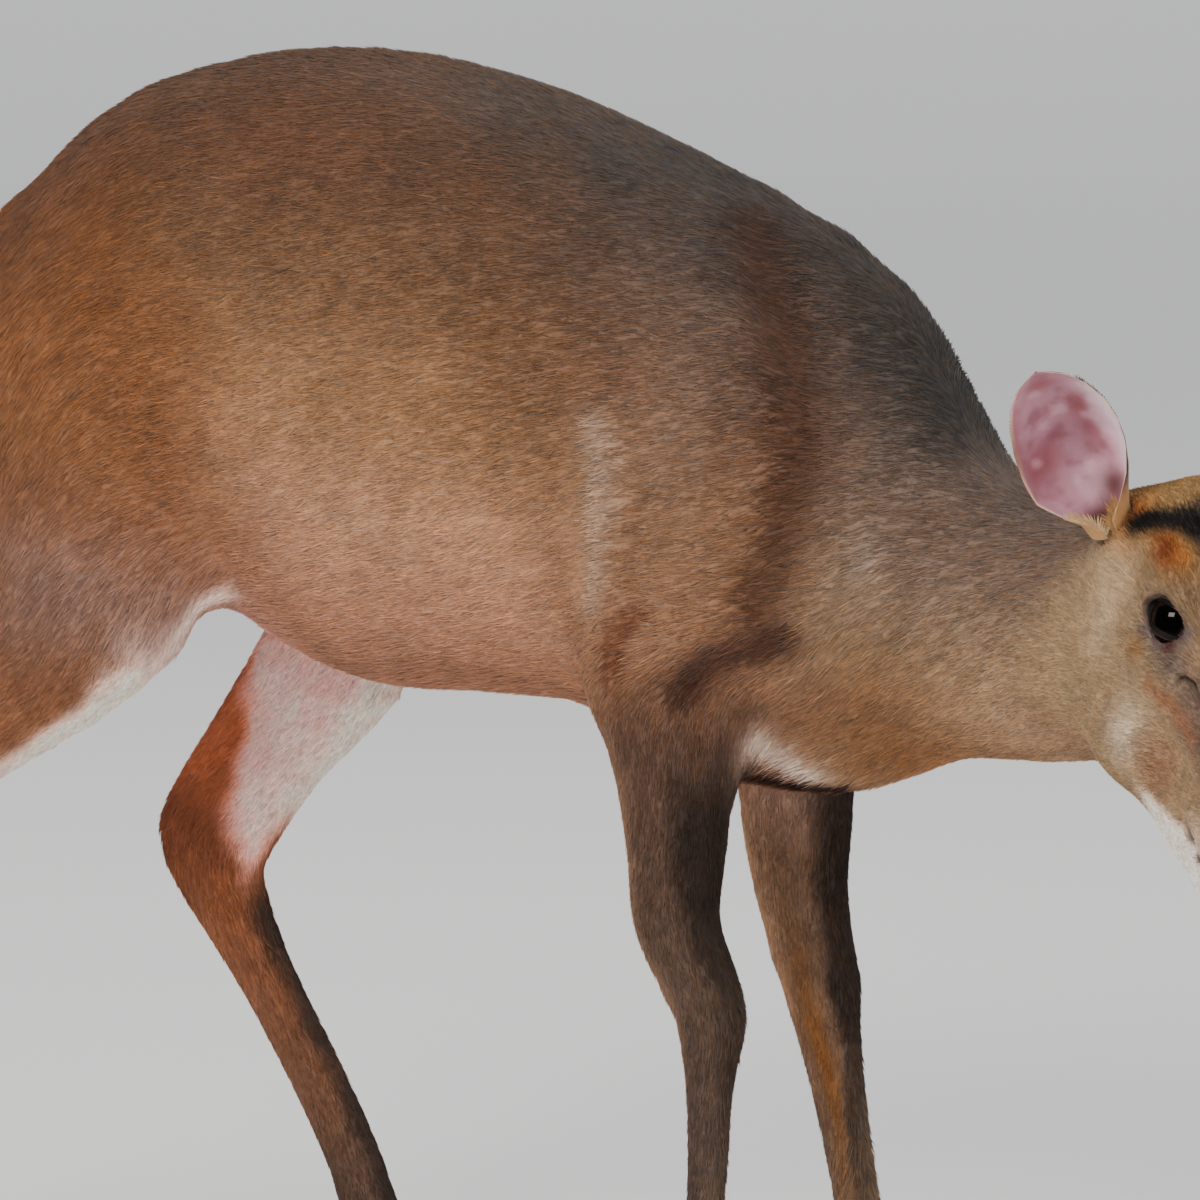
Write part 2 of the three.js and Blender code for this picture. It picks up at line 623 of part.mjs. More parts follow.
const cutters = [];
for (const leg of LEGS) {
  const dense = thread(leg.stations, STEPS);
  const last = dense.length - 1;
  const [top, joint] = [leg.top * STEPS, leg.joint * STEPS];
  const names = leg.pair === "fore" ? ["forearm", "cannon_fore"] : ["gaskin", "cannon_hind"];
  const foot = dense[last].at;
  cutters.push(limb(dense, top, last, LEG_SIDES, { grow: SLEEVE, trim: [-GAP / 2, 0] }));
  const upper = limb(dense, top, joint, LEG_SIDES, { field });
  const lower = limb(dense, joint, last, LEG_SIDES, { field, trim: [GAP / 2, -6] });
  const floor = beyond([0, 0, HOOF_TOP], [0, 0, 1]);
  const foreground = leg.pair === "fore" ? LEG_FUR : RUMP;
  keep(`${names[0]}_${leg.name}`, upper, foreground);
  keep(`${names[1]}_${leg.name}`, lower.intersect(floor), LEG_FUR);
  for (const [side, outward] of [["left", 1], ["right", -1]]) {
    const label = `${leg.pair}_${leg.name}_${side}`;
    keep(`hoof_${label}`, claw(foot, outward), HORN, 0.45);
    const grown = limb(dense, joint, last, LEG_SIDES, { field, grow: 0, trim: [0, 0] });
    const skin = limb(dense, joint, last, LEG_SIDES, { grow: GAP * 2, trim: [0, 0] });
    keep(`dewclaw_${label}`, dewclaw(dense, outward).subtract(grown.add(skin)), HORN, 0.5);
  }
}

// Tail, with its fringe of long hair below
const tailThread = thread(TAIL, STEPS);
const tailCutter = { grow: SLEEVE, trim: [-GAP / 2, 0] };
cutters.push(limb(tailThread, TAIL_CUT, tailThread.length - 1, LEG_SIDES, tailCutter));
let tail = limb(tailThread, TAIL_CUT, tailThread.length - 1, LEG_SIDES, { field, trim: [GAP / 2, 0] });

// A run of even, repeatable chance from 0 to 1
function chances(seed) {
  let state = seed;
  return () => {
    state = (state * 16807) % 2147483647;
    return state / 2147483647;
  };
}
const chance = chances(41);
for (let i = 0; i < LOCKS; i++) {
  const d = tailThread[Math.round(mix(5, tailThread.length - 2, (i + 0.5) / LOCKS))];
  const angle = mix(-1.35, 1.35, chance());
  const out = add(add([0, 0, 0], d.s, Math.sin(angle)), d.f, -Math.cos(angle));
  const root = add(add(d.at, d.s, (d.side - 3) * Math.sin(angle)), d.f, -(d.back - 3) * Math.cos(angle));
  const flat = unit(cross(d.tangent, out));
  const reach = LOCK_LENGTH * mix(0.75, 1.1, chance());
  const rings = [0, 0.35, 0.7, 1].map((t) => {
    const at = add(add(root, d.tangent, reach * t), out, 7 * t * (1 - 0.6 * t));
    const [wide, thick] = [5.2 * Math.sqrt(1.05 - t * t), 1.8 * (1.15 - t)];
    return [[1, 0], [0, 1], [-1, 0], [0, -1]].map(([w, h]) => add(add(at, flat, w * wide), out, h * thick));
  });
  tail = tail.add(loft(rings.map((ring) => ring.reverse())));
}
keep("tail", tail, RUMP);

// Trunk and neck
let whole = gridMesh(field, [-330, -130, 150], [345, 130, 570], TRUNK_CELL);
cutters.forEach((c) => (whole = whole.subtract(c)));
const { rump, chest, neck, poll } = CUTS;
keep("hindquarters", whole.intersect(behind(rump.at, rump.way)), RUMP);
keep("barrel", whole.intersect(beyond(rump.at, rump.way)).intersect(behind(chest.at, chest.way)), FLANK);
keep("forequarters", whole.intersect(beyond(chest.at, chest.way)).intersect(behind(neck.at, neck.way)), FLANK);
keep("neck", whole.intersect(beyond(neck.at, neck.way)).intersect(behind(poll.at, poll.way)), BACK);

// Eyes, each a ball in a socket, with lids drawn over it but for an almond opening
const LID = 2.0;
const EYE_OPENING = [10.4, 8.2];
const EYE_TILT = -6; // degrees, the front corner lower
function eyeAxes(side) {
  const out = unit(headWay([0.5, side * 0.82, 0.26]));
  const tilt = radians(EYE_TILT);
  const fore = headWay([Math.cos(tilt), 0, -Math.sin(tilt)]);
  const along = unit(add(fore, out, -dot(fore, out)));
  return [along, out, cross(along, out)];
}
// Ears: a cupped leaf, its hollow facing ahead, on a short root set in the head
const EAR_AT = [25, 45, 59.5];
const EAR_WAY = [-0.08, 0.67, 0.73];
const EAR_HOLLOW = [0.93, 0.3, 0.05];
const EAR_STATIONS = [
  // share of length, half width, half of the arc in degrees, how far the middle lies to the outer edge
  [-0.1, 9, 170, 0],
  [0.04, 10.5, 162, 0.5],
  [0.15, 15, 132, 2],
  [0.27, 19.5, 108, 3],
  [0.41, 21.3, 92, 2],
  [0.56, 21.3, 80, 0.8],
  [0.7, 19.5, 72, 0],
  [0.83, 15.5, 64, 0],
  [0.93, 10, 56, 0],
  [1, 4, 50, 0],
];
const EAR_POINTS = 8;
const EAR_FLATTENING = 0.85; // of the closed part, front to back
const EAR_PLUG = 0.06; // share of length up to which the ear is solid
const SOCKET_STATIONS = 5; // of the ear, that the head is cut clear of
function earFrame(side) {
  const flip = (v) => headWay([v[0], side * v[1], v[2]]);
  const way = unit(flip(EAR_WAY));
  const face = flip(EAR_HOLLOW);
  const hollow = unit(add(face, way, -dot(face, way)));
  const root = headPoint([EAR_AT[0], side * EAR_AT[1], EAR_AT[2]]);
  return { root, way, hollow, across: cross(way, hollow) };
}
function ear(side) {
  const { root, way, hollow, across } = earFrame(side);
  const rings = EAR_STATIONS.map(([t, half, arc, aside]) => {
    const spread = radians(arc);
    const radius = half / Math.sin(Math.min(spread, Math.PI / 2));
    const centre = add(add(root, way, EAR_LENGTH * t), across, side * aside);
    const middle = add(centre, hollow, arc < 90 ? radius * Math.cos(spread) : 0);
    const flat = arc < 90 ? 1 : EAR_FLATTENING;
    const point = (angle, r) =>
      add(add(middle, across, r * Math.sin(angle)), hollow, -r * Math.cos(angle) * flat);
    const angles = Array.from({ length: EAR_POINTS }, (_, i) => mix(-spread, spread, i / (EAR_POINTS - 1)));
    const inner = Math.max(radius - EAR_THICKNESS, radius * 0.4);
    const outside = angles.map((a) => point(a, radius));
    const inside = angles.map((a) => point(a, inner));
    return [...inside, ...outside.reverse()];
  });
  return loft(rings, bandEnd);
}
// A solid oval stub along the lower stations of an ear: share of length, half width, aside
function earStub(side, stations, grow) {
  const { root, way, hollow, across } = earFrame(side);
  const rings = stations.map(([t, half, aside]) => {
    const at = add(add(root, way, EAR_LENGTH * t), across, side * aside);
    return Array.from({ length: 14 }, (_, i) => {
      const angle = (2 * Math.PI * i) / 14;
      const deep = (half * EAR_FLATTENING + grow) * Math.cos(angle);
      return add(add(at, hollow, deep), across, (half + grow) * Math.sin(angle));
    });
  });
  return loft(rings);
}
const lowest = EAR_STATIONS[0];
const plugTop = [EAR_PLUG, ...EAR_STATIONS[1].slice(1)];
const plugStations = [lowest, plugTop].map(([t, half, , aside]) => [t, half - 0.6, aside]);
const socketStations = EAR_STATIONS.slice(0, SOCKET_STATIONS).map(([t, half, , aside]) => [t, half, aside]);
socketStations[0][0] -= GAP / EAR_LENGTH;
const SOCKET_GROW = 1;

const HEAD_BOX = [[-24, -66, -66], [214, 66, 110]];
const inHeadField = (q) => field(headPoint(q));
let head = gridMesh(inHeadField, ...HEAD_BOX, HEAD_CELL, headPoint).intersect(beyond(poll.at, poll.way));
for (const side of [-1, 1]) {
  const name = side < 0 ? "right" : "left";
  const at = headPoint([EYE_AT[0], side * EYE_AT[1], EYE_AT[2]]);
  const axes = eyeAxes(side);
  const lids = ball(at, [EYE_RADIUS + LID, EYE_RADIUS + LID, EYE_RADIUS + LID - 1.5], axes);
  const opening = ball(add(at, axes[1], EYE_RADIUS), [EYE_OPENING[0], EYE_RADIUS, EYE_OPENING[1]], axes);
  head = head.add(lids).subtract(ball(at, [1, 1, 1].map(() => EYE_RADIUS + GAP), axes)).subtract(opening);
  keep(`eye_${name}`, ball(at, [1, 1, 1].map(() => EYE_RADIUS), axes), EYE_GLASS, 0.08);
  head = head.subtract(earStub(side, socketStations, SOCKET_GROW));
  keep(`ear_${name}`, ear(side).add(earStub(side, plugStations, 0)), EAR_SKIN);
}

// The place on the head's surface met on the way out from a point inside it, all in the head's frame
function surfaceFrom(from, way, far = 60) {
  let [inner, outer] = [0, far];
  for (let n = 0; n < 20; n++) {
    const reach = (inner + outer) / 2;
    if (inHeadField(add(from, way, reach)) < 0) inner = reach;
    else outer = reach;
  }
  return add(from, way, inner);
}
// A groove of one width along places on the head's surface
function groove(places, half, depth) {
  const stations = places.map((p) => [...headPoint(p), half, depth, depth]);
  const dense = thread(stations, 3, UPWARD);
  return limb(dense, 0, dense.length - 1, 6, { trim: [0, 0] });
}
// The mouth, from one corner round the muzzle to the other: ahead and above for the right half
const MOUTH = [[134, 3], [146, 0], [160, 0], [172, 2], [182, 4]];
const MOUTH_FRONT = 4.5;
const rightLip = MOUTH.map(([a, c]) => surfaceFrom([a, 0, c], [0, -1, 0]));
const leftLip = MOUTH.map(([a, c]) => surfaceFrom([a, 0, c], [0, 1, 0])).reverse();
const lipFront = surfaceFrom([160, 0, MOUTH_FRONT], [1, 0, 0]);
head = head.subtract(groove([...rightLip, lipFront, ...leftLip], 1.1, 2.6));
for (const side of [-1, 1]) {
  const gland = [[97, 42], [104, 38], [111, 33]].map(([a, c]) => surfaceFrom([a, 0, c], [0, side, 0]));
  head = head.subtract(groove(gland, 1.6, 3));
  const outward = unit([0.8, side * 0.6, 0.1]);
  const nostril = surfaceFrom([176, side * 3, 18], outward);
  const deep = headWay(outward);
  const up = unit(add(UPWARD, deep, -dot(UPWARD, deep)));
  head = head.subtract(ball(headPoint(nostril), [6, 2.1, 3.6], [deep, cross(up, deep), up], 8));
}
// The bare nose, above the mouth and ahead of the fur
const NOSE_BACK = { at: [183, 0, 14], way: [1, 0, 0.35] };
const NOSE_BELOW = { at: [185, 0, 9], way: [-0.3, 0, 1] };
const noseRegion = (gap) =>
  [NOSE_BACK, NOSE_BELOW]
    .map(({ at, way }) => beyond(headPoint(at), headWay(way), gap))
    .reduce((a, b) => a.intersect(b));
keep("nose", head.intersect(noseRegion(GAP / 2)), WET_NOSE, 0.35);
keep("head", head.subtract(noseRegion(-GAP / 2)), FACE_FUR);

const animal = new THREE.Group();
built.forEach((mesh) => animal.add(mesh));
const box = new THREE.Box3().setFromObject(animal);
animal.position.set(-(box.min.x + box.max.x) / 2, -(box.min.y + box.max.y) / 2, -box.min.z);
export default animal;
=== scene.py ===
"""The looks of a life-size female muntjac: one skin over the solids, a coat of short tufts, eyes and lids,
ears, hooves and the fringe of the tail."""

import math

import bmesh
import bpy
import numpy as np
from mathutils import Matrix, Vector
from mathutils.bvhtree import BVHTree


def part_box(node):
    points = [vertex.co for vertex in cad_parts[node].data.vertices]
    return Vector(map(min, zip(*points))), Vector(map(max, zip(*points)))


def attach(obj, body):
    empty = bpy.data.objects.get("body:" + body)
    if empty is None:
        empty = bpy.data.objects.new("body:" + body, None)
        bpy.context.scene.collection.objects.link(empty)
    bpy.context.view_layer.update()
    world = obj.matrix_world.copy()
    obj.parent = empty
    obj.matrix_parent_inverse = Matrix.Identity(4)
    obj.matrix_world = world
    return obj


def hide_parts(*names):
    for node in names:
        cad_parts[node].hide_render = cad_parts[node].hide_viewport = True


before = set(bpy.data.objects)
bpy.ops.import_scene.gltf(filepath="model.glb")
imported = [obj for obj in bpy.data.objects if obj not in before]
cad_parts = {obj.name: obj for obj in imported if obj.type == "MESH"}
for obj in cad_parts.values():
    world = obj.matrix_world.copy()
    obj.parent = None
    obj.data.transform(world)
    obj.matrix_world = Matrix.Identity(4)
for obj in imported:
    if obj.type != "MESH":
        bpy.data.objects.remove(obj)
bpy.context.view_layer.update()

# Places below are in millimetres from the middle of the trunk, as the solids were drawn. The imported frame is
# in metres and shifted, by as much as the right eye is.
RIGHT_EYE = np.array([314.02, -89.83, 344.61])
eye_low, eye_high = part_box("eye_right")
SHIFT = (np.array(eye_low) + np.array(eye_high)) * 500 - RIGHT_EYE
SKIN_CELL = 2.4  # of the remeshed skin
TUFTS = 335000
EYE_RADIUS = 11.5
EYE_AT = np.array([77, 24.4, 49.9])
EAR_LENGTH = 69
SIDES = ((-1, "right"), (1, "left"))


def metres(p):
    return (np.asarray(p, float) + SHIFT) * 0.001


def unit(v):
    v = np.asarray(v, float)
    return v / np.maximum(np.linalg.norm(v, axis=-1, keepdims=True), 1e-9)


def ramp(x, a, b):
    """0 at a, 1 at b, smooth between"""
    t = np.clip((x - a) / (b - a), 0, 1)
    return t * t * (3 - 2 * t)


def folded(p):
    """Both sides laid on one: the second number made positive"""
    return np.stack([p[:, 0], np.abs(p[:, 1]), p[:, 2]], 1)


# The head's own axes: ahead along the mouth, leftward, upward
PITCH, YAW, ROLL = math.radians(24), math.radians(47), math.radians(14)
AHEAD = np.array([math.cos(PITCH) * math.cos(YAW), -math.cos(PITCH) * math.sin(YAW), -math.sin(PITCH)])
LEVEL = np.array([math.sin(YAW), math.cos(YAW), 0])
LEFTWARD = LEVEL * math.cos(ROLL) - np.cross(AHEAD, LEVEL) * math.sin(ROLL)
UPWARD = np.cross(AHEAD, LEFTWARD)
HEAD_AXES = np.array([AHEAD, LEFTWARD, UPWARD])
HEAD_AT = RIGHT_EYE - (EYE_AT * [1, -1, 1]) @ HEAD_AXES


def in_head(p):
    return (p - HEAD_AT) @ HEAD_AXES.T


def head_point(q):
    return np.asarray(q, float) @ HEAD_AXES + HEAD_AT


def head_way(v):
    return np.asarray(v, float) @ HEAD_AXES


# Smooth chance that varies with place
def lattice(i, j, k, seed):
    h = (i * 73856093) ^ (j * 19349663) ^ (k * 83492791) ^ (seed * 2654435)
    h = (h ^ (h >> 13)) * 1274126177 & 0xFFFFFFFF
    h = (h ^ (h >> 16)) & 0xFFFFFF
    return h / 0x7FFFFF - 1.0


def noise(p, size, seed=1):
    """Between -1 and 1, changing over about size millimetres"""
    q = np.asarray(p) / size
    cell = np.floor(q).astype(np.int64)
    f = q - cell
    f = f * f * (3 - 2 * f)
    total = 0
    for corner in range(8):
        bits = [(corner >> b) & 1 for b in range(3)]
        weight = np.prod([f[:, b] if bits[b] else 1 - f[:, b] for b in range(3)], axis=0)
        total = total + weight * lattice(*[cell[:, b] + bits[b] for b in range(3)], seed)
    return total


# Legs, tail and neck, as the solids have them: x, y, z, half width, to the front, to the back
FORE_RIGHT = [
    [68, -58, 318, 27, 38, 30], [70, -57, 270, 22, 27, 24], [70, -56, 235, 19, 23, 18],
    [71, -54, 205, 15.5, 18, 18], [81, -52, 178, 13, 17.5, 13.5], [84, -51, 162, 12, 15, 12.5],
    [84, -50, 138, 9, 10, 10.5], [83, -50, 105, 7.6, 9, 9.4], [81, -50, 72, 8, 9, 9.5],
    [80, -50, 54, 9.6, 9.8, 11], [86, -50, 36, 9, 9, 9.5], [93, -50, 22, 10.5, 10, 10.5],
]
FORE_LEFT = [
    [58, 58, 318, 27, 40, 36], [60, 55, 270, 22, 29, 29.5], [62, 53, 235, 19, 23, 27],
    [66, 51, 205, 15.5, 18, 23.5], [73, 50, 178, 13.3, 15, 20.5], [77, 50, 162, 12.3, 13.5, 19.5],
    [82, 50, 138, 10, 10.5, 16.5], [89, 50, 105, 8.6, 8.6, 14.5], [95, 50, 72, 8.8, 9, 13.5],
    [98, 50, 54, 9.8, 9.8, 12.5], [105, 50, 36, 9, 9, 9.5], [112, 50, 22, 10.5, 10, 10.5],
]
HIND_RIGHT = [
    [-205, -54, 345, 29, 52, 56], [-214, -58, 300, 24, 34, 46], [-258, -58, 262, 19, 23, 30],
    [-305, -55, 229, 14, 16, 22], [-338, -53, 204, 12, 17, 20], [-349, -52, 178, 10, 13.5, 14],
    [-349, -51, 140, 8.6, 10.5, 11.5], [-348, -51, 98, 8.2, 10, 11], [-347, -51, 68, 8.8, 10.5, 11.5],
    [-345, -51, 50, 10, 10.5, 11.5], [-337, -51, 34, 9.2, 9.2, 9.8], [-330, -51, 22, 10.5, 10, 10.5],
]
HIND_LEFT = [
    [-160, 54, 370, 28, 46, 60], [-144, 55, 330, 25, 38, 68], [-162, 55, 286, 20, 33, 41],
    [-198, 53, 244, 15, 28, 30], [-226, 51, 208, 12.5, 30, 26.5], [-227, 51, 193, 11.8, 26, 25.5],
    [-221, 50, 176, 10.5, 22, 18], [-200, 50, 144, 9, 14.5, 14], [-173, 50, 104, 8.6, 12.5, 14.5],
    [-155, 50, 72, 9, 12.5, 14.5], [-145, 50, 50, 10, 11.5, 13.5], [-133, 50, 34, 9.2, 9.5, 10],
    [-124, 50, 22, 10.5, 10, 10.5],
]
TAIL = [
    [-268, 0, 457, 24, 22, 22], [-296, 0, 447, 20, 15, 16], [-318, 0, 417, 18, 10, 12],
    [-328, 0, 380, 19, 9, 12], [-333, 0, 345, 17, 8, 10], [-335, 0, 312, 7, 5, 5],
]
NECK = [
    [92, 0, 362, 48, 86, 92], [135, 0, 354, 44, 70, 86], [170, -6, 345, 40, 50, 75],
    [205, -15, 337, 37, 45, 64], [240, -26, 334, 36, 41, 56], [278, -36, 340, 35, 38, 51],
]
TRUNK_X = [-288, -264, -215, -160, -100, -40, 20, 75, 115, 140]
TRUNK_TOP = [440, 473, 521, 538, 540, 528, 506, 490, 470, 440]
TRUNK_BASE = [364, 354, 331, 315, 283, 282, 279, 260, 252, 260]


class Thread:
    """A smooth run through stations, with its own axes at each point"""

    def __init__(self, stations, steps=6):
        s = np.array(stations, float)
        rows = []
        last = len(s) - 1
        for i in range(last):
            a, b, c, d = (s[min(max(k, 0), last)] for k in (i - 1, i, i + 1, i + 2))
            for t in np.arange(steps + (i == last - 1)) / steps:
                rows.append(0.5 * (2 * b + (c - a) * t + (2 * a - 5 * b + 4 * c - d) * t**2
                                   + (3 * b - a - 3 * c + d) * t**3))
        rows = np.array(rows)
        self.at, self.side, self.front, self.back = rows[:, :3], rows[:, 3], rows[:, 4], rows[:, 5]
        self.tangent = unit(np.gradient(self.at, axis=0))
        y = np.array([0, 1, 0])
        self.aside = unit(y - self.tangent * self.tangent[:, 1:2])
        self.fore = np.cross(self.tangent, self.aside)

    def local(self, p):
        """The nearest station of each point, and how far aside and fore it lies, as shares of the section"""
        best = np.empty(len(p), int)
        for start in range(0, len(p), 20000):
            part = p[start:start + 20000]
            d = ((part[:, None, :] - self.at[None]) ** 2).sum(2)
            best[start:start + 20000] = d.argmin(1)
        r = p - self.at[best]
        fore = (r * self.fore[best]).sum(1)
        fore = fore / np.where(fore > 0, self.front[best], self.back[best])
        aside = (r * self.aside[best]).sum(1) / self.side[best]
        return best, aside, fore


LEGS = {
    "fore_right": Thread(FORE_RIGHT), "fore_left": Thread(FORE_LEFT),
    "hind_right": Thread(HIND_RIGHT), "hind_left": Thread(HIND_LEFT),
}
tail_thread = Thread(TAIL)


# Meshes from arrays
def normals_of(verts, tris):
    """A normal for each vertex, weighted by area"""
    a, b, c = (verts[tris[:, k]] for k in range(3))
    n = np.cross(b - a, c - a)
    total = np.zeros_like(verts)
    for k in range(3):
        for axis in range(3):
            total[:, axis] += np.bincount(tris[:, k], n[:, axis], len(verts))
    return unit(total)


def mesh_of(name, verts, faces):
    """A mesh of faces that all have the same count of corners, from places in millimetres"""
    me = bpy.data.meshes.new(name)
    count, corners = faces.shape
    me.vertices.add(len(verts))
    me.vertices.foreach_set("co", metres(verts).astype(np.float32).ravel())
    me.loops.add(count * corners)
    me.loops.foreach_set("vertex_index", faces.astype(np.int32).ravel())
    me.polygons.add(count)
    me.polygons.foreach_set("loop_start", np.arange(0, count * corners, corners, dtype=np.int32))
    me.update(calc_edges=True)
    return me


def triangles_of(me):
    me.calc_loop_triangles()
    tris = np.empty(len(me.loop_triangles) * 3, np.int32)
    me.loop_triangles.foreach_get("vertices", tris)
    return tris.reshape(-1, 3)


def places_of(me):
    co = np.empty(len(me.vertices) * 3, np.float32)
    me.vertices.foreach_get("co", co)
    return co.reshape(-1, 3).astype(float) * 1000 - SHIFT


def set_places(me, verts):
    me.vertices.foreach_set("co", metres(verts).astype(np.float32).ravel())
    me.update()


def linear(rgb):
    c = np.clip(np.asarray(rgb, float) / 255, 0, 1)
    return np.where(c <= 0.04045, c / 12.92, ((c + 0.055) / 1.055) ** 2.4)


def set_colours(me, rgb):
    """Stores a colour for each vertex, from 0-255 values"""
    layer = me.color_attributes.new("coat", "BYTE_COLOR", "POINT")
    rgba = np.ones((len(rgb), 4), np.float32)
    rgba[:, :3] = linear(rgb)
    layer.data.foreach_set("color", rgba.ravel())


def set_patches(me, uv):
    layer = me.uv_layers.new(name="OFBake")
    index = np.empty(len(me.loops), np.int32)
    me.loops.foreach_get("vertex_index", index)
    layer.data.foreach_set("uv", uv[index].astype(np.float32).ravel())


def piece(name, me, material, nodes=(), smooth=True):
    me.materials.clear()
    me.materials.append(material)
    me.polygons.foreach_set("use_smooth", np.full(len(me.polygons), smooth))
    ob = bpy.data.objects.new(name, me)
    bpy.context.scene.collection.objects.link(ob)
    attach(ob, "root")
    if nodes:
        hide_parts(*nodes)
    return ob


def grid_faces(rows, columns):
    """Quads between rows of a grid of vertices that closes round on itself"""
    i, j = np.meshgrid(np.arange(rows - 1), np.arange(columns), indexing="ij")
    k = (j + 1) % columns
    low, high = i * columns, (i + 1) * columns
    return np.stack([low + j, low + k, high + k, high + j], -1).reshape(-1, 4)


# Markings. Colours are what the coat shows in even light, from 0 to 255, except where a mark is said to hold
# painted shade or painted light.
def height_share(p):
    top = np.interp(p[:, 0], TRUNK_X, TRUNK_TOP)
    base = np.interp(p[:, 0], TRUNK_X, TRUNK_BASE)
    return (p[:, 2] - base) / (top - base)


def along(shares, colours, x):
    """A colour for each x, from stops"""
    return np.stack([np.interp(x, shares, [c[k] for c in colours]) for k in range(3)], 1)


def near_path(p, path, radius):
    """1 on a path of points, falling to 0 at about twice the radius from it"""
    path = np.asarray(path, float)
    best = np.full(len(p), 1e9)
    for a, b in zip(path[:-1], path[1:]):
        ab = b - a
        t = np.clip(((p - a) @ ab) / (ab @ ab), 0, 1)
        best = np.minimum(best, np.linalg.norm(p - a - t[:, None] * ab, axis=1))
    return np.exp(-(best / radius) ** 2)


def blob(p, at, radii):
    return np.exp(-(((p - np.asarray(at)) / np.asarray(radii)) ** 2).sum(1))


def shaped(q, place, size):
    """A blob where the place is one point, otherwise a path. A path of pairs runs over the head's sides."""
    if np.ndim(place) == 1:
        return blob(q, place, size)
    return near_path(q if len(place[0]) == 3 else q[:, [0, 2]], place, size)


def mix(colour, other, share):
    return colour + (np.asarray(other, float) - colour) * np.clip(share, 0, 1)[:, None]


def marked(c, q, marks):
    """Lays marks over a colour, one after the other: colour, strength, place or path, radii or radius"""
    for tint, strength, place, size in marks:
        c = mix(c, tint, strength * shaped(q, place, size))
    return c


# Colours by height, from the belly to the back, on the trunk, rump, shoulder and neck: the back darker and the
# lower flank lighter. This is partly the coat's own countershading, partly painted shade on the back and
# painted light on the lower flank.
TRUNK_STOPS = [0, 0.06, 0.16, 0.3, 0.5, 0.7, 0.86, 1.0]
TRUNK_COLOURS = [(162, 116, 92), (166, 120, 94), (176, 130, 104), (180, 138, 110), (158, 120, 88),
                 (124, 92, 68), (106, 78, 60), (94, 74, 62)]
RUMP_COLOURS = [(152, 116, 98), (146, 106, 84), (142, 99, 73), (141, 97, 66), (138, 92, 60),
                (126, 83, 52), (114, 77, 53), (102, 73, 57)]
SHOULDER_COLOURS = [(150, 108, 84), (146, 105, 80), (148, 108, 82), (154, 115, 88), (140, 105, 80),
                    (122, 93, 76), (97, 80, 71), (68, 62, 59)]
NECK_COLOURS = [(164, 134, 108), (154, 120, 91), (152, 118, 90), (148, 119, 92), (138, 114, 95),
                (124, 102, 88), (104, 88, 79), (72, 67, 64)]
# The dark band down the front of the shoulder blade: partly the coat's own colour and partly painted shade of
# the groove there, which the relief also sinks.
DARK_BAND = [[90, 22, 474], [98, 28, 462], [112, 38, 439], [124, 50, 413], [131, 57, 387], [128, 63, 353],
             [120, 68, 337]]
# The crease above the foreleg and the fold of the elbow: the relief sinks them, and their dark colour is
# painted shade in them.
ELBOW_ARC = [[126, 67, 321], [112, 74, 317], [100, 78, 311], [92, 79, 303]]
ELBOW_FOLD = [[72, 84, 330], [64, 85, 322], [60, 84, 308]]
# A pale band on the ridge behind the shoulder: a painted highlight along that ridge, which the relief also
# raises.
PALE_BAND = [[49, 75, 402], [53, 76, 381], [48, 75, 357], [47, 77, 333]]


RUMP_MARKS = [
    ((128, 80, 48), 0.7, (-276, 0, 452), (34, 40, 44)),
    ((124, 96, 86), 0.7, (-204, 66, 300), (44, 40, 34)),
]
SHOULDER_MARKS = [
    ((118, 80, 58), 0.6, (-120, 40, 505), (60, 50, 30)),
    # the dark band, partly painted shade of the groove before the shoulder blade
    ((76, 49, 36), 0.7, DARK_BAND, 12),
    ((118, 84, 60), 0.45, (30, 74, 424), (46, 40, 34)),
    # painted highlight along the ridge behind the shoulder
    ((180, 154, 134), 0.75, PALE_BAND, 7.5),
    ((146, 122, 104), 0.35, (80, 70, 400), (16, 30, 50)),
]


def trunk_colour(p):
    q = folded(p)
    h = height_share(p) + 0.04 * noise(p, 26, 5)
    x = p[:, 0] + 9 * noise(p, 34, 6)
    c = along(TRUNK_STOPS, TRUNK_COLOURS, h)
    border = np.interp(p[:, 2], [300, 335, 390, 430, 480, 530], [-138, -136, -136, -146, -178, -210])
    c = mix(c, along(TRUNK_STOPS, RUMP_COLOURS, h), ramp(border - x, -44, 40))
    c = mix(c, (122, 76, 46), 0.35 * blob(q, (-156, 70, 388), (20, 40, 44)))
    c = mix(c, (134, 88, 58), 0.75 * ramp(-p[:, 0], 222, 262) * ramp(-p[:, 2], -400, -350))
    c = marked(c, q, RUMP_MARKS)
    c = mix(c, along(TRUNK_STOPS, SHOULDER_COLOURS, h), ramp(x, -12, 62))
    c = mix(c, (80, 72, 67), ramp(h, 0.88, 1.02) * ramp(x, -110, -10) * 0.55)
    return marked(c, q, SHOULDER_MARKS)


NECK_MARKS = [
    ((160, 106, 62), 0.6, (158, 20, 270), (32, 40, 15)),
    ((126, 88, 60), 0.6, (150, 36, 292), (24, 40, 22)),
    ((190, 158, 130), 0.7, (222, 40, 300), (30, 30, 20)),
    ((150, 124, 98), 0.5, (212, 55, 320), (18, 30, 18)),
    # a painted highlight on the point of the shoulder, over the bump that the relief raises there
    ((164, 148, 134), 0.45, (157, 52, 353), (6, 14, 10)),
]


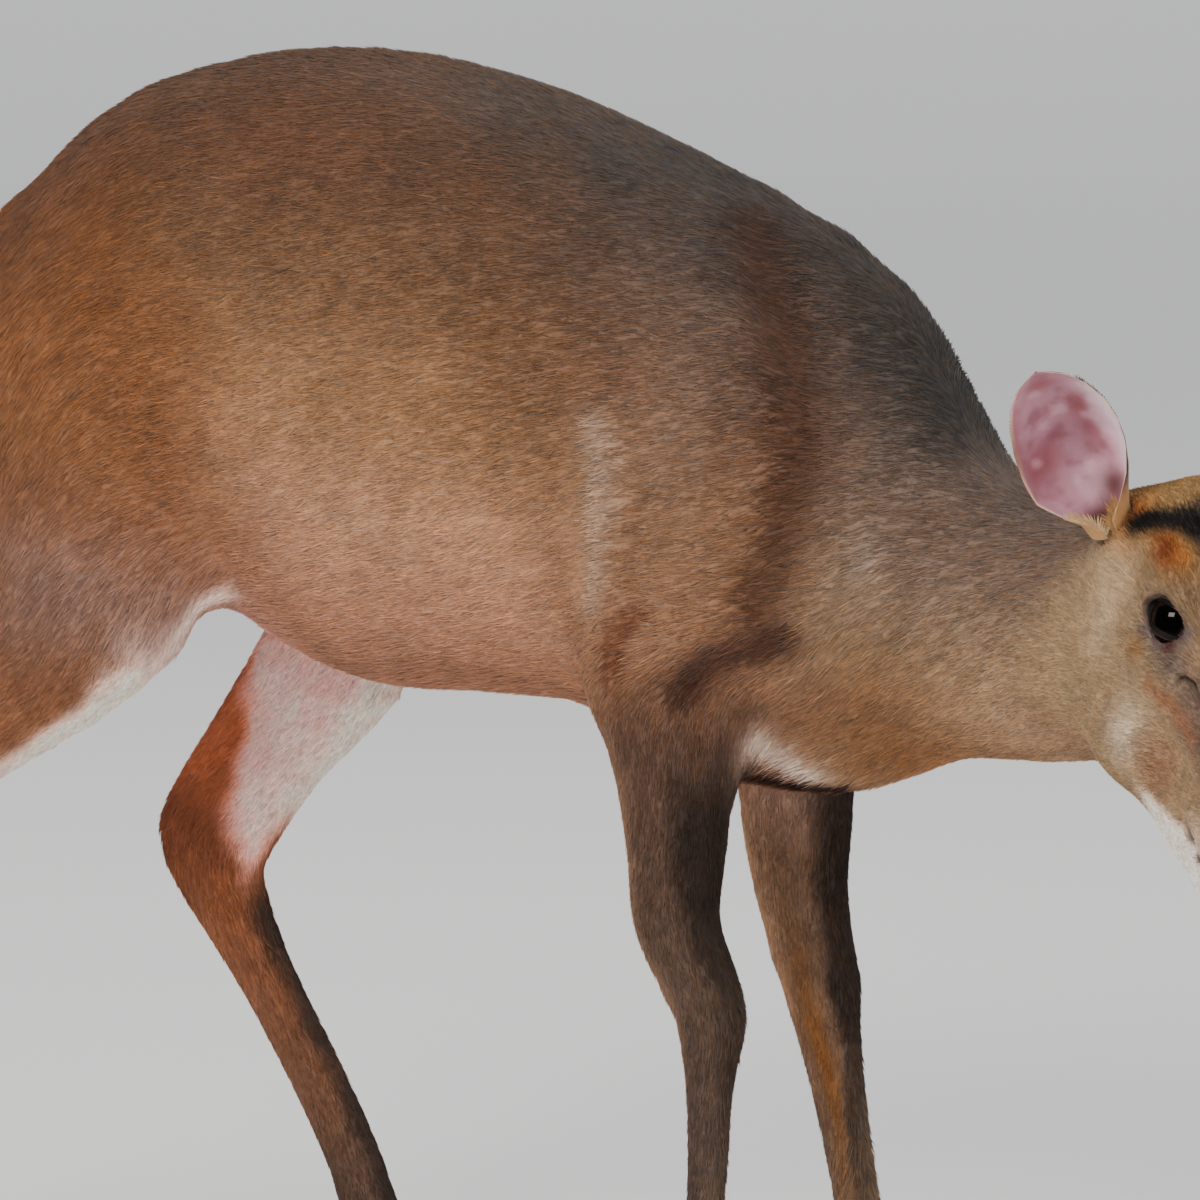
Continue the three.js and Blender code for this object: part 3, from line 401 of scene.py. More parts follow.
def neck_colour(p):
    q = folded(p)
    x, z, front, back = np.array(NECK, float).T[[0, 2, 4, 5]]
    top = np.interp(p[:, 0], x, z + front + 14)
    base = np.interp(p[:, 0], x, z - back)
    h = (p[:, 2] - base) / (top - base) + 0.05 * noise(p, 22, 7)
    c = along(TRUNK_STOPS, NECK_COLOURS, h)
    c = marked(c, q, NECK_MARKS)
    # Darker, redder lines on the right side of the throat: painted shade in its folds.
    for at in [(240, -50, 297), (250, -53, 293), (262, -56, 290), (246, -48, 289)]:
        c = mix(c, (140, 84, 70), 0.55 * blob(p, at, (7, 12, 3.4)))
    return c


# On the head the places are ahead, aside (either side) and above, in the head's own axes
V_STRIPE = [[41, 39, 69], [45, 34, 74], [54, 26, 80], [66, 19, 79], [84, 13, 70], [102, 8.5, 61],
            [120, 5, 51]]
# Lines that run over the sides of the head, as ahead and above
MOUTH = [[134, -0.5], [141, -1.5], [151, -2], [162, -1], [172, 1], [182, 3.5], [190, 5]]
GLAND = [[101, 39], [105, 42], [111, 42.5], [118, 40]]


def nose_share(q):
    """1 on the bare pad of the nose, from places in the head"""
    a, up = q[:, 0], q[:, 2]
    return ramp(a + 0.5 * up, 192, 195) * ramp(up, 8, 10.5)


# Marks as colour, strength, place or path, radii or radius
CHEEK_MARKS = [
    ((192, 168, 138), 0.85, (46, 41, 34), (12, 14, 22)),
    ((204, 188, 168), 0.8, (84, 33, 3), (10, 16, 14)),
    ((148, 112, 88), 0.9, (105, 22, 4), (13, 12, 12)),
]
BROW_MARKS = [
    ((190, 106, 40), 0.95, (35, 41, 69), (8, 9, 6)),
    ((186, 136, 92), 0.6, (40, 43, 60), (8, 10, 6)),
    ((150, 104, 76), 0.75, [[91, 28], [103, 29], [115, 30], [124, 27]], 4),
    ((152, 104, 60), 0.6, (76, 36, 34), (5, 9, 4)),
    ((132, 110, 84), 0.85, [[62, 38, 60], [76, 35, 64], [90, 30, 62]], 5),
    ((112, 96, 88), 0.9, (96, 29, 43), (13, 11, 8)),
    ((172, 132, 96), 0.5, (110, 26, 52), (10, 10, 6)),
    ((178, 112, 42), 0.9, (64, 31, 71), (15, 10, 7)),
    ((112, 50, 24), 0.8, (62, 34, 69), (10, 6, 4)),
    ((24, 20, 19), 1.3, V_STRIPE, 5.5),
    ((26, 22, 21), 1.1, (50, 10, 84), (8, 18, 9)),
]


def head_colour(p):
    q = folded(in_head(p))
    a, b, up = q.T
    q = q + 1.5 * np.stack([noise(p, 7, seed) for seed in (11, 12, 13)], 1)
    c = np.tile(np.array([157.0, 132, 103]), (len(p), 1))
    c = mix(c, (136, 110, 86), ramp(up, 46, 66) * ramp(a, 60, 80))
    c = mix(c, (154, 120, 76), ramp(up, 56, 68) * ramp(-a, -62, -44))
    c = mix(c, (152, 100, 60), ramp(up, 60, 72) * ramp(a, 50, 64) * ramp(-a, -118, -88) * ramp(-b, -24, -10))
    c = mix(c, (120, 99, 87), ramp(a, 92, 120) * ramp(up, 14, 32))
    c = mix(c, (98, 76, 62), ramp(a, 126, 158) * ramp(up, 6, 20))
    c = mix(c, (112, 82, 62), ramp(a, 96, 120) * ramp(-b, -14, -5) * ramp(up, 30, 46))
    c = marked(c, q, CHEEK_MARKS)
    c = mix(c, (226, 214, 204), ramp(-up + 0.2 * (a - 100), 7, 13) * ramp(a, 88, 106))
    c = mix(c, (158, 126, 102), ramp(-up, 14, 34) * ramp(-a, -80, -52) * 0.8)
    c = marked(c, q, BROW_MARKS)
    lips = ramp(a, 128, 146)
    c = mix(c, (206, 186, 170), 0.55 * ramp(up, -3, 1) * ramp(-up, -9, -4) * lips)
    c = mix(c, (60, 44, 39), 0.75 * shaped(q, MOUTH, 1.3) * (a > 130))
    c = mix(c, (78, 62, 54), ramp(a, 166, 180) * ramp(up, 6, 14) * 0.8)
    return mix(c, (22, 19, 19), nose_share(q))


def leg_colour(p, which):
    aside, fore = LEGS[which].local(p)[1:]
    z = p[:, 2] + 6 * noise(p, 18, 9)
    side = -1 if which.endswith("right") else 1
    inner = ramp(-aside * side, -0.25, 0.6)
    fore = fore + 0.12 * noise(p, 14, 10)
    start = np.interp(z, [185, 235], [0.42, 0.15])
    front = ramp(fore - start, 0, 0.6)
    rear = ramp(-fore, 0.2, 0.8)
    if which.startswith("fore"):
        c = along([20, 60, 110, 180, 235, 280, 320],
                  [(66, 54, 48), (84, 70, 62), (92, 76, 67), (100, 80, 68), (98, 76, 63), (104, 78, 64),
                   (118, 84, 62)], z)
        c = mix(c, (142, 112, 90), inner * 0.85 * ramp(z, 40, 110))
        c = mix(c, (170, 136, 118), inner * ramp(z, 215, 245) * 0.8)
        c = mix(c, (160, 102, 50), inner * blob(np.stack([fore, z], 1), (-0.1, 135), (0.3, 46)) * 0.8)
        low = ramp(-z, -150, -110)
        front = front * (1 - inner) + inner * ramp(fore + 0.35 * low, 0.4, 0.85)
        c = mix(c, (54, 43, 37), front * 0.8 * ramp(-z, -292, -246))
        c = mix(c, (168, 132, 104), rear * (0.5 + 0.4 * inner) * ramp(z, 110, 180))
        return mix(c, (60, 46, 40), np.exp(-((z - 160) / 16) ** 2) * front * 0.5)
    c = along([20, 60, 110, 180, 215, 260, 320],
              [(74, 56, 46), (96, 74, 62), (126, 88, 66), (142, 88, 60), (138, 80, 54), (144, 98, 70),
               (138, 98, 74)], z)
    c = mix(c, (190, 108, 70), inner * ramp(z, 212, 240) * 0.8)
    limit = np.interp(z, [190, 215, 245, 262, 285], [0.65, 0.3, -0.2, -0.55, -1.1])
    c = mix(c, (250, 190, 182), inner * ramp(fore - limit, -0.15, 0.25) * ramp(z, 178, 196))
    c = mix(c, (238, 210, 198), ramp(fore, 0.62, 0.9) * ramp(z, 200, 230))
    return mix(c, (56, 46, 42), front * ramp(-z, -188, -168) * 0.85)


def tail_colour(p):
    fore = tail_thread.local(p)[2]
    c = np.tile(np.array([138.0, 82, 46]), (len(p), 1))
    return mix(c, (232, 222, 208), ramp(fore, 0.1, 0.4))


LEG_TOP = 322  # where the legs' markings pass into the trunk's


def skin_weights(p):
    """How much each part of the body holds a place: trunk, neck, head, each leg, tail"""
    q = in_head(p)
    head = ramp(q[:, 0] + 0.12 * q[:, 2], -2, 22) * (q[:, 0] > -20)
    neck = ramp(p[:, 0] + 0.42 * (352 - p[:, 2]) * 0.4, 118, 150) * (1 - head)
    weights = {"head": head, "neck": neck}
    for name, thread in LEGS.items():
        aside, fore = thread.local(p)[1:]
        side = -1 if name.endswith("right") else 1
        own = ramp(-np.hypot(aside, fore), -1.7, -1.3) * ramp(-p[:, 2], -LEG_TOP, 46 - LEG_TOP)
        own *= p[:, 1] * side > 0
        weights[name] = own * (1 - head) * (1 - neck * (p[:, 2] > 250))
    aside, fore = tail_thread.local(p)[1:]
    weights["tail"] = (ramp(-np.hypot(aside, fore), -1.5, -1.2) * ramp(-p[:, 0], 274, 292)
                       * ramp(p[:, 2], 290, 300))
    weights["trunk"] = np.clip(1 - sum(weights.values()), 0, 1)
    return weights


def by_part(w, trunk, neck, head, legs, tail):
    """One value for each place, from a value for each part"""
    legs_share = sum(w[name] for name in LEGS)
    return trunk * w["trunk"] + neck * w["neck"] + head * w["head"] + legs * legs_share + tail * w["tail"]


def deepened(c, contrast=1.16, vivid=1.1, middle=112):
    """The colours with more contrast and stronger hues, as the soft light evens them out"""
    grey = np.maximum(c.mean(1, keepdims=True), 1)
    return np.clip((grey + (c - grey) * vivid) * (grey / middle) ** (contrast - 1), 0, 250)


# Marks over the joins of the legs and the trunk, some of them painted shade in the creases there, and the
# white front edge of the right thigh
JOIN_MARKS_AND_SHADE = [
    # painted shade in the crease above the foreleg and in the elbow's fold
    ((56, 33, 26), 0.85, ELBOW_ARC, 8.5),
    ((92, 50, 32), 0.7, ELBOW_FOLD, 5),
    ((232, 170, 164), 0.9, (-148, 0, 314), (28, 42, 24)),
    ((214, 192, 178), 0.95, [[103, 45, 279], [110, 34, 271], [118, 22, 264]], 8),
    ((140, 118, 98), 0.7, [[92, 54, 294], [94, 50, 276]], 6),
    # painted shadow under the brisket, between the forelegs
    ((50, 29, 23), 0.95, [[86, 36, 265], [105, 17, 257], [122, 8, 256]], 7.5),
]
THIGH_EDGE = [[-252, -66, 240], [-197, -66, 274], [-157, -55, 315], [-136, -48, 327]]


def coat_colour(p, weights=None):
    w = weights or skin_weights(p)
    total, sums = np.zeros((len(p), 3)), np.zeros(len(p))
    parts = {"trunk": trunk_colour, "neck": neck_colour, "head": head_colour, "tail": tail_colour}
    for name, share in w.items():
        use = share > 0.002
        if not use.any():
            continue
        c = parts[name](p[use]) if name in parts else leg_colour(p[use], name)
        total[use] += c * share[use, None]
        sums[use] += share[use]
    c = total / np.maximum(sums, 1e-6)[:, None]
    c = marked(c, folded(p), JOIN_MARKS_AND_SHADE)
    c = mix(c, (238, 212, 200), 0.9 * near_path(p, THIGH_EDGE, 5))
    speckle = 1 + 0.05 * noise(p, 3.2, 21) + 0.045 * noise(p, 8, 22) + 0.03 * noise(p, 20, 23)
    return deepened(c * speckle[:, None])


# Skin: copies of the flesh nodes and a plain tail, joined, remeshed and smoothed
FLESH = ["hindquarters", "barrel", "forequarters", "neck", "head", "nose", "forearm_left", "forearm_right",
         "cannon_fore_left", "cannon_fore_right", "gaskin_left", "gaskin_right", "cannon_hind_left",
         "cannon_hind_right"]
OVERLAP = 0.3  # how far each node is swollen, so that the nodes join


def node_surface(name):
    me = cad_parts[name].data
    co, tris = places_of(me), triangles_of(me)
    unique, inverse = np.unique(np.round(co, 2), axis=0, return_inverse=True)
    return unique, inverse.ravel()[tris]


TAIL_CORNERS = 16
TAIL_CORE = 0.62  # the share of the tail's width that is flesh, under the fringe


def tail_core():
    """The tail without its long hair, as a closed tube"""
    t = tail_thread
    angles = np.linspace(0, 2 * math.pi, TAIL_CORNERS, endpoint=False)
    rings = []
    for i in range(0, len(t.at), 2):
        out = np.sin(angles)
        deep = np.where(out > 0, t.front[i], t.back[i]) * TAIL_CORE
        rings.append(t.at[i] + np.outer(np.cos(angles) * t.side[i] * TAIL_CORE, t.aside[i])
                     + np.outer(deep * out, t.fore[i]))
    verts = np.concatenate(rings + [rings[0].mean(0)[None], rings[-1].mean(0)[None]])
    quads = grid_faces(len(rings), TAIL_CORNERS)
    first, last = len(verts) - 2, len(verts) - 1
    j = np.arange(TAIL_CORNERS)
    k = (j + 1) % TAIL_CORNERS
    end = (len(rings) - 1) * TAIL_CORNERS
    caps = [np.stack([np.full(TAIL_CORNERS, first), k, j], 1),
            np.stack([np.full(TAIL_CORNERS, last), end + j, end + k], 1)]
    return verts, np.concatenate([quads[:, [0, 1, 2]], quads[:, [0, 2, 3]]] + caps)


shells = [node_surface(name) for name in FLESH]
shells = [(v + normals_of(v, t) * OVERLAP, t) for v, t in shells] + [tail_core()]
starts = np.cumsum([0] + [len(v) for v, t in shells])
verts = np.concatenate([v for v, t in shells])
tris = np.concatenate([t + start for (v, t), start in zip(shells, starts)])

block = bpy.data.objects.new("block", mesh_of("block", verts, tris))
bpy.context.scene.collection.objects.link(block)
modifier = block.modifiers.new("remesh", "REMESH")
modifier.mode = "VOXEL"
modifier.voxel_size = SKIN_CELL * 0.001
skin_mesh = bpy.data.meshes.new_from_object(block.evaluated_get(bpy.context.evaluated_depsgraph_get()))
bpy.data.objects.remove(block)


def edges_of(me):
    e = np.empty(len(me.edges) * 2, np.int32)
    me.edges.foreach_get("vertices", e)
    return e.reshape(-1, 2)


def averaged(values, edges, count):
    """The mean of the neighbours' values"""
    degree = np.bincount(edges.ravel(), minlength=count)
    out = np.empty_like(values)
    for axis in range(values.shape[1]):
        column = values[:, axis]
        out[:, axis] = (np.bincount(edges[:, 0], column[edges[:, 1]], count)
                        + np.bincount(edges[:, 1], column[edges[:, 0]], count))
    return out / np.maximum(degree, 1)[:, None]


def keep_largest(me):
    """Drops any closed scrap inside the skin"""
    edges = edges_of(me)
    label = np.arange(len(me.vertices))
    while True:
        low = np.minimum(label[edges[:, 0]], label[edges[:, 1]])
        new = label.copy()
        np.minimum.at(new, edges[:, 0], low)
        np.minimum.at(new, edges[:, 1], low)
        new = new[new]
        if (new == label).all():
            break
        label = new
    values, counts = np.unique(label, return_counts=True)
    if len(values) == 1:
        return
    bm = bmesh.new()
    bm.from_mesh(me)
    bm.verts.ensure_lookup_table()
    drop = np.flatnonzero(label != values[counts.argmax()])
    bmesh.ops.delete(bm, geom=[bm.verts[i] for i in drop], context="VERTS")
    bm.to_mesh(me)
    bm.free()


keep_largest(skin_mesh)


def smoothed(me, rounds, share):
    """Relaxes the places of a mesh, each by its own share"""
    edges = edges_of(me)
    p = places_of(me)
    for _ in range(rounds):
        p += (averaged(p, edges, len(p)) - p) * share[:, None]
    set_places(me, p)


p = places_of(skin_mesh)
w = skin_weights(p)
smoothed(skin_mesh, 26, np.clip(by_part(w, 0.55, 0.5, 0.2, 0.16, 0.2), 0.1, 0.55))


def refine(me, chosen):
    """Splits the faces whose corners are all chosen into four"""
    bm = bmesh.new()
    bm.from_mesh(me)
    mask = chosen(places_of(me))
    edges = [e for e in bm.edges if mask[e.verts[0].index] and mask[e.verts[1].index]]
    bmesh.ops.subdivide_edges(bm, edges=edges, cuts=1, use_grid_fill=True)
    bm.to_mesh(me)
    bm.free()
    p = places_of(me)
    smoothed(me, 3, np.where(chosen(p), 0.4, 0.0))


def head_zone(p):
    q = in_head(p)
    return (q[:, 0] > 4) & (q[:, 0] < 230) & (np.abs(q[:, 1]) < 70) & (q[:, 2] > -60)


def fine_zone(p):
    q = folded(in_head(p))
    eye = np.linalg.norm(q - EYE_AT, axis=1) < 26
    gland = np.linalg.norm(q - [105, 26, 38], axis=1) < 18
    return head_zone(p) & (eye | gland | (q[:, 0] > 128))


refine(skin_mesh, head_zone)
refine(skin_mesh, fine_zone)


# Forms of muscle and bone that the solids leave out: a ridge or hollow along a path, as height and width
RIBS = [14, -8, -30, -52, -74, -96]
BODY_RELIEF = [
    (-2.6, DARK_BAND, 10),
    (1.6, [[78, 30, 470], [92, 44, 440], [104, 58, 400], [110, 66, 368]], 10),
    (1.1, PALE_BAND, 8),
    (-1.8, [[40, 70, 404], [38, 74, 370], [38, 76, 335], [44, 80, 312]], 8),
    (-2.2, ELBOW_ARC, 6),
    (-1.4, ELBOW_FOLD, 3.5),
    (1.8, (152, 50, 350), (12, 16, 16)),
    (-2.2, (-128, 66, 400), (20, 30, 48)),
    (1.6, (-150, 62, 470), (20, 30, 16)),
    (-1.5, [[-146, 74, 400], [-144, 66, 360], [-140, 62, 335]], 8),
    (1.2, [[-160, 76, 400], [-158, 70, 360], [-152, 62, 332]], 10),
]


def risen(q, relief):
    """The height of a list of forms: height, place or path, radii or radius"""
    return sum(height * shaped(q, place, size) for height, place, size in relief)


def body_relief(p):
    q = folded(p)
    d = risen(q, BODY_RELIEF)
    for x in RIBS:
        path = [[x + 10, 60, 440], [x, 82, 400], [x - 12, 80, 350], [x - 20, 66, 315]]
        d += 0.35 * near_path(q, path, 5)
    for x in np.linspace(-250, 60, 16):
        top = np.interp(x, TRUNK_X, TRUNK_TOP)
        d += 0.3 * blob(q, (x, 0, top), (6, 10, 8))
    return d


HOCKS = {"hind_right": 204, "hind_left": 208}


def leg_relief(p, name, thread):
    """Forms of a leg, as height, level and its reach, place from back to front and its reach"""
    fore = thread.local(p)[2]
    if name in HOCKS:
        hock = HOCKS[name]
        forms = [(-3.0, hock + 42, 26, -0.25, 0.3), (1.2, hock, 12, -0.9, 0.4), (-1.0, 110, 50, -0.15, 0.25)]
    else:
        forms = [(1.1, 170, 12, 0.8, 0.5), (0.9, 176, 8, -0.9, 0.4), (-0.9, 110, 34, -0.15, 0.25),
                 (-1.5, 240, 30, -0.15, 0.22)]
    forms.append((0.9, 52, 9, -0.8, 0.5))
    return sum(height * np.exp(-((p[:, 2] - level) / tall) ** 2) * np.exp(-((fore - middle) / wide) ** 2)
               for height, level, tall, middle, wide in forms)


p = places_of(skin_mesh)
n = normals_of(p, triangles_of(skin_mesh))
w = skin_weights(p)
relief = body_relief(p) * (w["trunk"] + w["neck"])
for name, thread in LEGS.items():
    relief += leg_relief(p, name, thread) * w[name]
coat_depth = by_part(w, 0.7, 0.6, 0.3, 0.4, 0.4)
p += n * (relief - coat_depth - OVERLAP)[:, None]
set_places(skin_mesh, p)


# Head: sockets, lids, gland, nostrils and mouth
def eye_axes(side):
    out = unit(head_way([0.5, side * 0.82, 0.26]))
    tilt = math.radians(-14)
    fore = head_way([math.cos(tilt), 0, -math.sin(tilt)])
    fore = unit(fore - out * (fore @ out))
    return fore, out, np.cross(out, fore) * (-side)


def eye_place(side):
    return head_point(EYE_AT * [1, side, 1])


OPENING = (11.8, 6.0)  # half the length and height between the lids


def opening_edge(phi):
    """The edge between the lids, as fore and up: pointed behind and before, fuller above"""
    u = OPENING[0] * np.cos(phi)
    lens = np.sign(np.sin(phi)) * np.abs(np.sin(phi)) ** 1.12
    v = OPENING[1] * lens * np.where(lens > 0, 1.04, 0.98)
    return u, v - 0.9 * (u / OPENING[0]) ** 3


# Forms of the head, in its own axes, as in the relief of the body
HEAD_RELIEF = [
    (1.0, [[52, 34, 64], [64, 36, 65], [78, 36, 63], [92, 31, 58]], 5),
    (1.0, [[50, 18, 86], [64, 16, 83], [80, 13, 76], [98, 9, 67]], 4),
    (-1.0, (58, 38, 46), (10, 14, 10)),
    (-3.8, [[197, 8, 17.5], [195, 11, 19.5], [189, 14, 20.5], [184, 15.5, 19.5]], 2.2),
    (-0.9, [[199, 0, 22], [199, 0, 14], [196, 0, 8]], 1.3),
]
HEAD_RELIEF += [(-0.35, [[192 - 4 * i, 6, 28 + i], [186 - 4 * i, 12, 24 + i]], 0.9) for i in range(3)]
# Forms on the sides of the head only
CHEEK_RELIEF = [
    (-2.4, GLAND, 1.5),
    (0.9, [[100, 34.5], [106, 37], [114, 37], [121, 35]], 2.6),
    (0.8, [[104, 46.5], [112, 47], [120, 44.5]], 2.6),
    (1.0, [[62, 34], [80, 28], [98, 26]], 5.5),
    (-1.3, [[64, 20], [84, 12], [104, 8]], 7),
    (0.6, [[136, 4], [150, 3], [166, 4], [178, 7]], 3),
]


def sculpt_head(p):
    q = folded(in_head(p))
    mouth = 1.6 * shaped(q, MOUTH, 1.5) * (q[:, 0] > 128)
    return risen(q, HEAD_RELIEF) + risen(q, CHEEK_RELIEF) * ramp(q[:, 1], 6, 12) - mouth


p = places_of(skin_mesh)
tri = triangles_of(skin_mesh)
n = normals_of(p, tri)
w = skin_weights(p)
p += n * (sculpt_head(p) * w["head"])[:, None]
smooth_skin = BVHTree.FromPolygons(p.tolist(), tri.tolist())
PIT_DEPTH = 3.5  # of the skin behind the front of the eyeball
PIT_EDGE = 1.2  # how far the pit reaches past the edge between the lids
SOCKET = 34  # how far round an eye its lids and pit are looked for
for side in (-1, 1):
    at = eye_place(side)
    fore, out, up = eye_axes(side)
    r = p - at
    u, v, t = r @ fore, r @ up, r @ out
    share = np.hypot(u / (OPENING[0] + PIT_EDGE), v / (OPENING[1] + PIT_EDGE))
    pit = (t > -6) & (np.linalg.norm(r, axis=1) < SOCKET) & (share < 1)
    flat = u[pit] ** 2 + v[pit] ** 2
    deep = np.sqrt(np.maximum((EYE_RADIUS - PIT_DEPTH) ** 2 - flat * 0.5, 4)) - 1
    p[pit] = at + u[pit, None] * fore * 0.92 + v[pit, None] * up * 0.92 + out * deep[:, None]
set_places(skin_mesh, p)


def lie_of(p, n, edges, w):
    """The lie of the coat: the way the hair points at each vertex, smoothed over the skin"""
    q = in_head(p)
    trunk = np.tile([-1.0, 0, -0.22], (len(p), 1))
    rear = ramp(-p[:, 0], 150, 240)[:, None]
    trunk = trunk * (1 - rear) + rear * np.array([-0.55, 0, -0.85])
    flank = (ramp(-p[:, 2], -360, -320) * ramp(-p[:, 0], 130, 165))[:, None]
    trunk = trunk * (1 - flank) + flank * np.array([-0.7, 0, -0.7])
    neck = np.tile([-0.86, 0.22, -0.36], (len(p), 1))
    m = folded(q)
    side = np.where(q[:, 1] < 0, -1.0, 1.0)
    local = np.stack([-np.ones(len(p)), 0.12 * side, -0.1 - 0.35 * ramp(-m[:, 2], -40, 0)], 1)
    around = m - EYE_AT
    local[:, 2] += 0.5 * np.sign(around[:, 2]) * np.exp(-(np.linalg.norm(around, axis=1) / 22) ** 2)
    head = head_way(local)
    f = trunk * w["trunk"][:, None] + neck * w["neck"][:, None] + head * w["head"][:, None]
    for name, thread in LEGS.items():
        best = thread.local(p)[0]
        f += (thread.tangent[best] + [-0.12, 0, 0]) * w[name][:, None]
    best = tail_thread.local(p)[0]
    f += tail_thread.tangent[best] * w["tail"][:, None]
    for _ in range(24):
        f = unit(f - n * (f * n).sum(1)[:, None])
        f = 0.4 * f + 0.6 * averaged(f, edges, len(p))
    return unit(f - n * (f * n).sum(1)[:, None])


p = places_of(skin_mesh)
tri = triangles_of(skin_mesh)
n = normals_of(p, tri)
w = skin_weights(p)
lie = lie_of(p, n, edges_of(skin_mesh), w)


NOWHERE = 99  # the distance given to places that are not near the eye


def lid_distance(p, side):
    """How far each place lies outside the edge between the lids, and its place fore and up from the eye"""
    fore, out, up = eye_axes(side)
    r = p - eye_place(side)
    u, v = r @ fore, r @ up
    share = np.hypot(u / OPENING[0], v / OPENING[1])
    far = np.hypot(u, v) * (1 - 1 / np.maximum(share, 0.05))
    return np.where((r @ out > 0) & (np.linalg.norm(r, axis=1) < SOCKET), far, NOWHERE), u, v


def bare_share(p):
    """1 where the skin has no fur: the nose, inside the sockets, the gland"""
    q = folded(in_head(p))
    gland = ramp(shaped(q, GLAND, 1.6), 0.5, 0.8) * (q[:, 1] > 8) * (q[:, 0] > 60)
    bare = np.maximum(nose_share(q), gland)
    for side in (-1, 1):
        far = lid_distance(p, side)[0]
        bare = np.maximum(bare, ramp(-far, -2.6, -1.4))
    return bare


def lid_colour(p, c):
    """Adds the dark rims of the lids and the bare grey skin before and below the eye"""
    for side in (-1, 1):
        far, u, v = lid_distance(p, side)
        below = ramp(-v + 0.35 * u, 0.5, 5)
        c = mix(c, (108, 92, 92), 0.85 * ramp(-far, -8.5, -3) * below)
        c = mix(c, (96, 76, 64), 0.7 * ramp(-far, -3.6, -1.4))
        corner = np.exp(-((far - 4) / 2.2) ** 2) * np.exp(-((u - 9) / 3) ** 2) * (v < 2)
        c = mix(c, (84, 36, 34), 0.8 * corner)
        c = mix(c, (28, 22, 22), ramp(-far, -1.1, -0.4))
    return c


q = folded(in_head(p))
gland_line = shaped(q, GLAND, 1.1) * (q[:, 0] > 60) * (q[:, 1] > 8) * w["head"]
set_colours(skin_mesh, mix(lid_colour(p, coat_colour(p, w)), (34, 24, 22), 0.9 * gland_line))


# Materials
def new_material(name):
    m = bpy.data.materials.new(name)
    m.use_nodes = True
    nt = m.node_tree
    return m, nt, nt.nodes["Principled BSDF"]


def set_inputs(node, **values):
    """Sets sockets by name, with _ for each space"""
    for key, value in values.items():
        node.inputs[key.replace("_", " ")].default_value = value
    return node


def add_node(nt, kind, **values):
    return set_inputs(nt.nodes.new(kind), **values)


def painted(nt):
    """The colours that the mesh stores"""
    colour = nt.nodes.new("ShaderNodeAttribute")
    colour.attribute_name = "coat"
    return colour.outputs["Color"]


def grained(name, grain, detail, limits, bumpiness, depth):
    """Colour from the markings, broken up by fine grain, with a grain bump"""
    m, nt, bsdf = new_material(name)
    link = nt.links.new
    place = nt.nodes.new("ShaderNodeTexCoord")
    fine = add_node(nt, "ShaderNodeTexNoise", Scale=grain, Detail=detail, Roughness=0.6)
    link(place.outputs["Object"], fine.inputs["Vector"])
    low, high, darkest, lightest = limits
    spread = add_node(nt, "ShaderNodeMapRange", From_Min=low, From_Max=high, To_Min=darkest, To_Max=lightest)
    link(fine.outputs["Fac"], spread.inputs["Value"])
    tint = nt.nodes.new("ShaderNodeVectorMath")
    tint.operation = "SCALE"
    link(painted(nt), tint.inputs[0])
    link(spread.outputs["Result"], tint.inputs["Scale"])
    link(tint.outputs["Vector"], bsdf.inputs["Base Color"])
    bump = add_node(nt, "ShaderNodeBump", Strength=bumpiness, Distance=depth)
    link(fine.outputs["Fac"], bump.inputs["Height"])
    link(bump.outputs["Normal"], bsdf.inputs["Normal"])
    return m, bsdf


def fur_material(name, grain, depth, roughness, sheen):
    m, bsdf = grained(name, grain, 3.0, (0.25, 0.75, 0.78, 1.2), 0.5, depth)
    set_inputs(bsdf, Roughness=roughness, Specular_IOR_Level=0.22, Sheen_Weight=sheen, Sheen_Roughness=0.45,
               Sheen_Tint=(1.0, 0.86, 0.72, 1))
    return m


skin_material = fur_material("skin", 620, 0.0005, 0.62, 0.04)
coat_material = fur_material("coat", 420, 0.0001, 0.55, 0.05)

piece("skin", skin_mesh, skin_material, FLESH)

# The coat: short closed tufts set over the skin
random = np.random.default_rng(7)


def unwrap(p, w):
    """A place on a flat sheet for each point: each part has its own cell, along it and round it"""
    uv = np.zeros((len(p), 2))
    cells = ["trunk", "neck", "head", "tail", "fore_right", "fore_left", "hind_right", "hind_left"]
    stack = np.stack([w[name] for name in cells], 1)
    which = stack.argmax(1)
    q = in_head(p)
    for i, name in enumerate(cells):
        use = which == i
        if not use.any():
            continue
        if name == "trunk":
            s, turn = (p[use, 0] + 310) / 480, np.arctan2(p[use, 1], p[use, 2] - 405)
        elif name == "neck":
            s, turn = (p[use, 0] - 100) / 200, np.arctan2(p[use, 1] + 14, p[use, 2] - 340)
        elif name == "head":
            s, turn = (q[use, 0] + 10) / 220, np.arctan2(q[use, 1], q[use, 2] - 28)
        else:
            thread = tail_thread if name == "tail" else LEGS[name]
            best, aside, fore = thread.local(p[use])
            s, turn = best / len(thread.at), np.arctan2(aside, fore)
        cell = np.array([(i % 4) * 0.25, (i // 4) * 0.5])
        uv[use] = cell + np.stack([0.01 + 0.23 * np.clip(s, 0, 1), 0.25 + turn / math.pi * 0.24], 1)
    return uv


# Corners of a tuft, as shares of its width, thickness and length: three at the root and one at the tip,
# or for a long one three more half way
SHORT_TUFT = np.array([[0, 1, 3], [1, 2, 3], [2, 0, 3], [0, 2, 1]])
LONG_TUFT = np.array([[0, 1, 4], [0, 4, 3], [1, 2, 5], [1, 5, 4], [2, 0, 3], [2, 3, 5],
                      [3, 4, 6], [4, 5, 6], [5, 3, 6], [0, 2, 1]])
PATCH = 0.003  # of the flat sheet, for each tuft
ROOT_DEPTH = 0.35
PIECE_LIMIT = 190000  # triangles


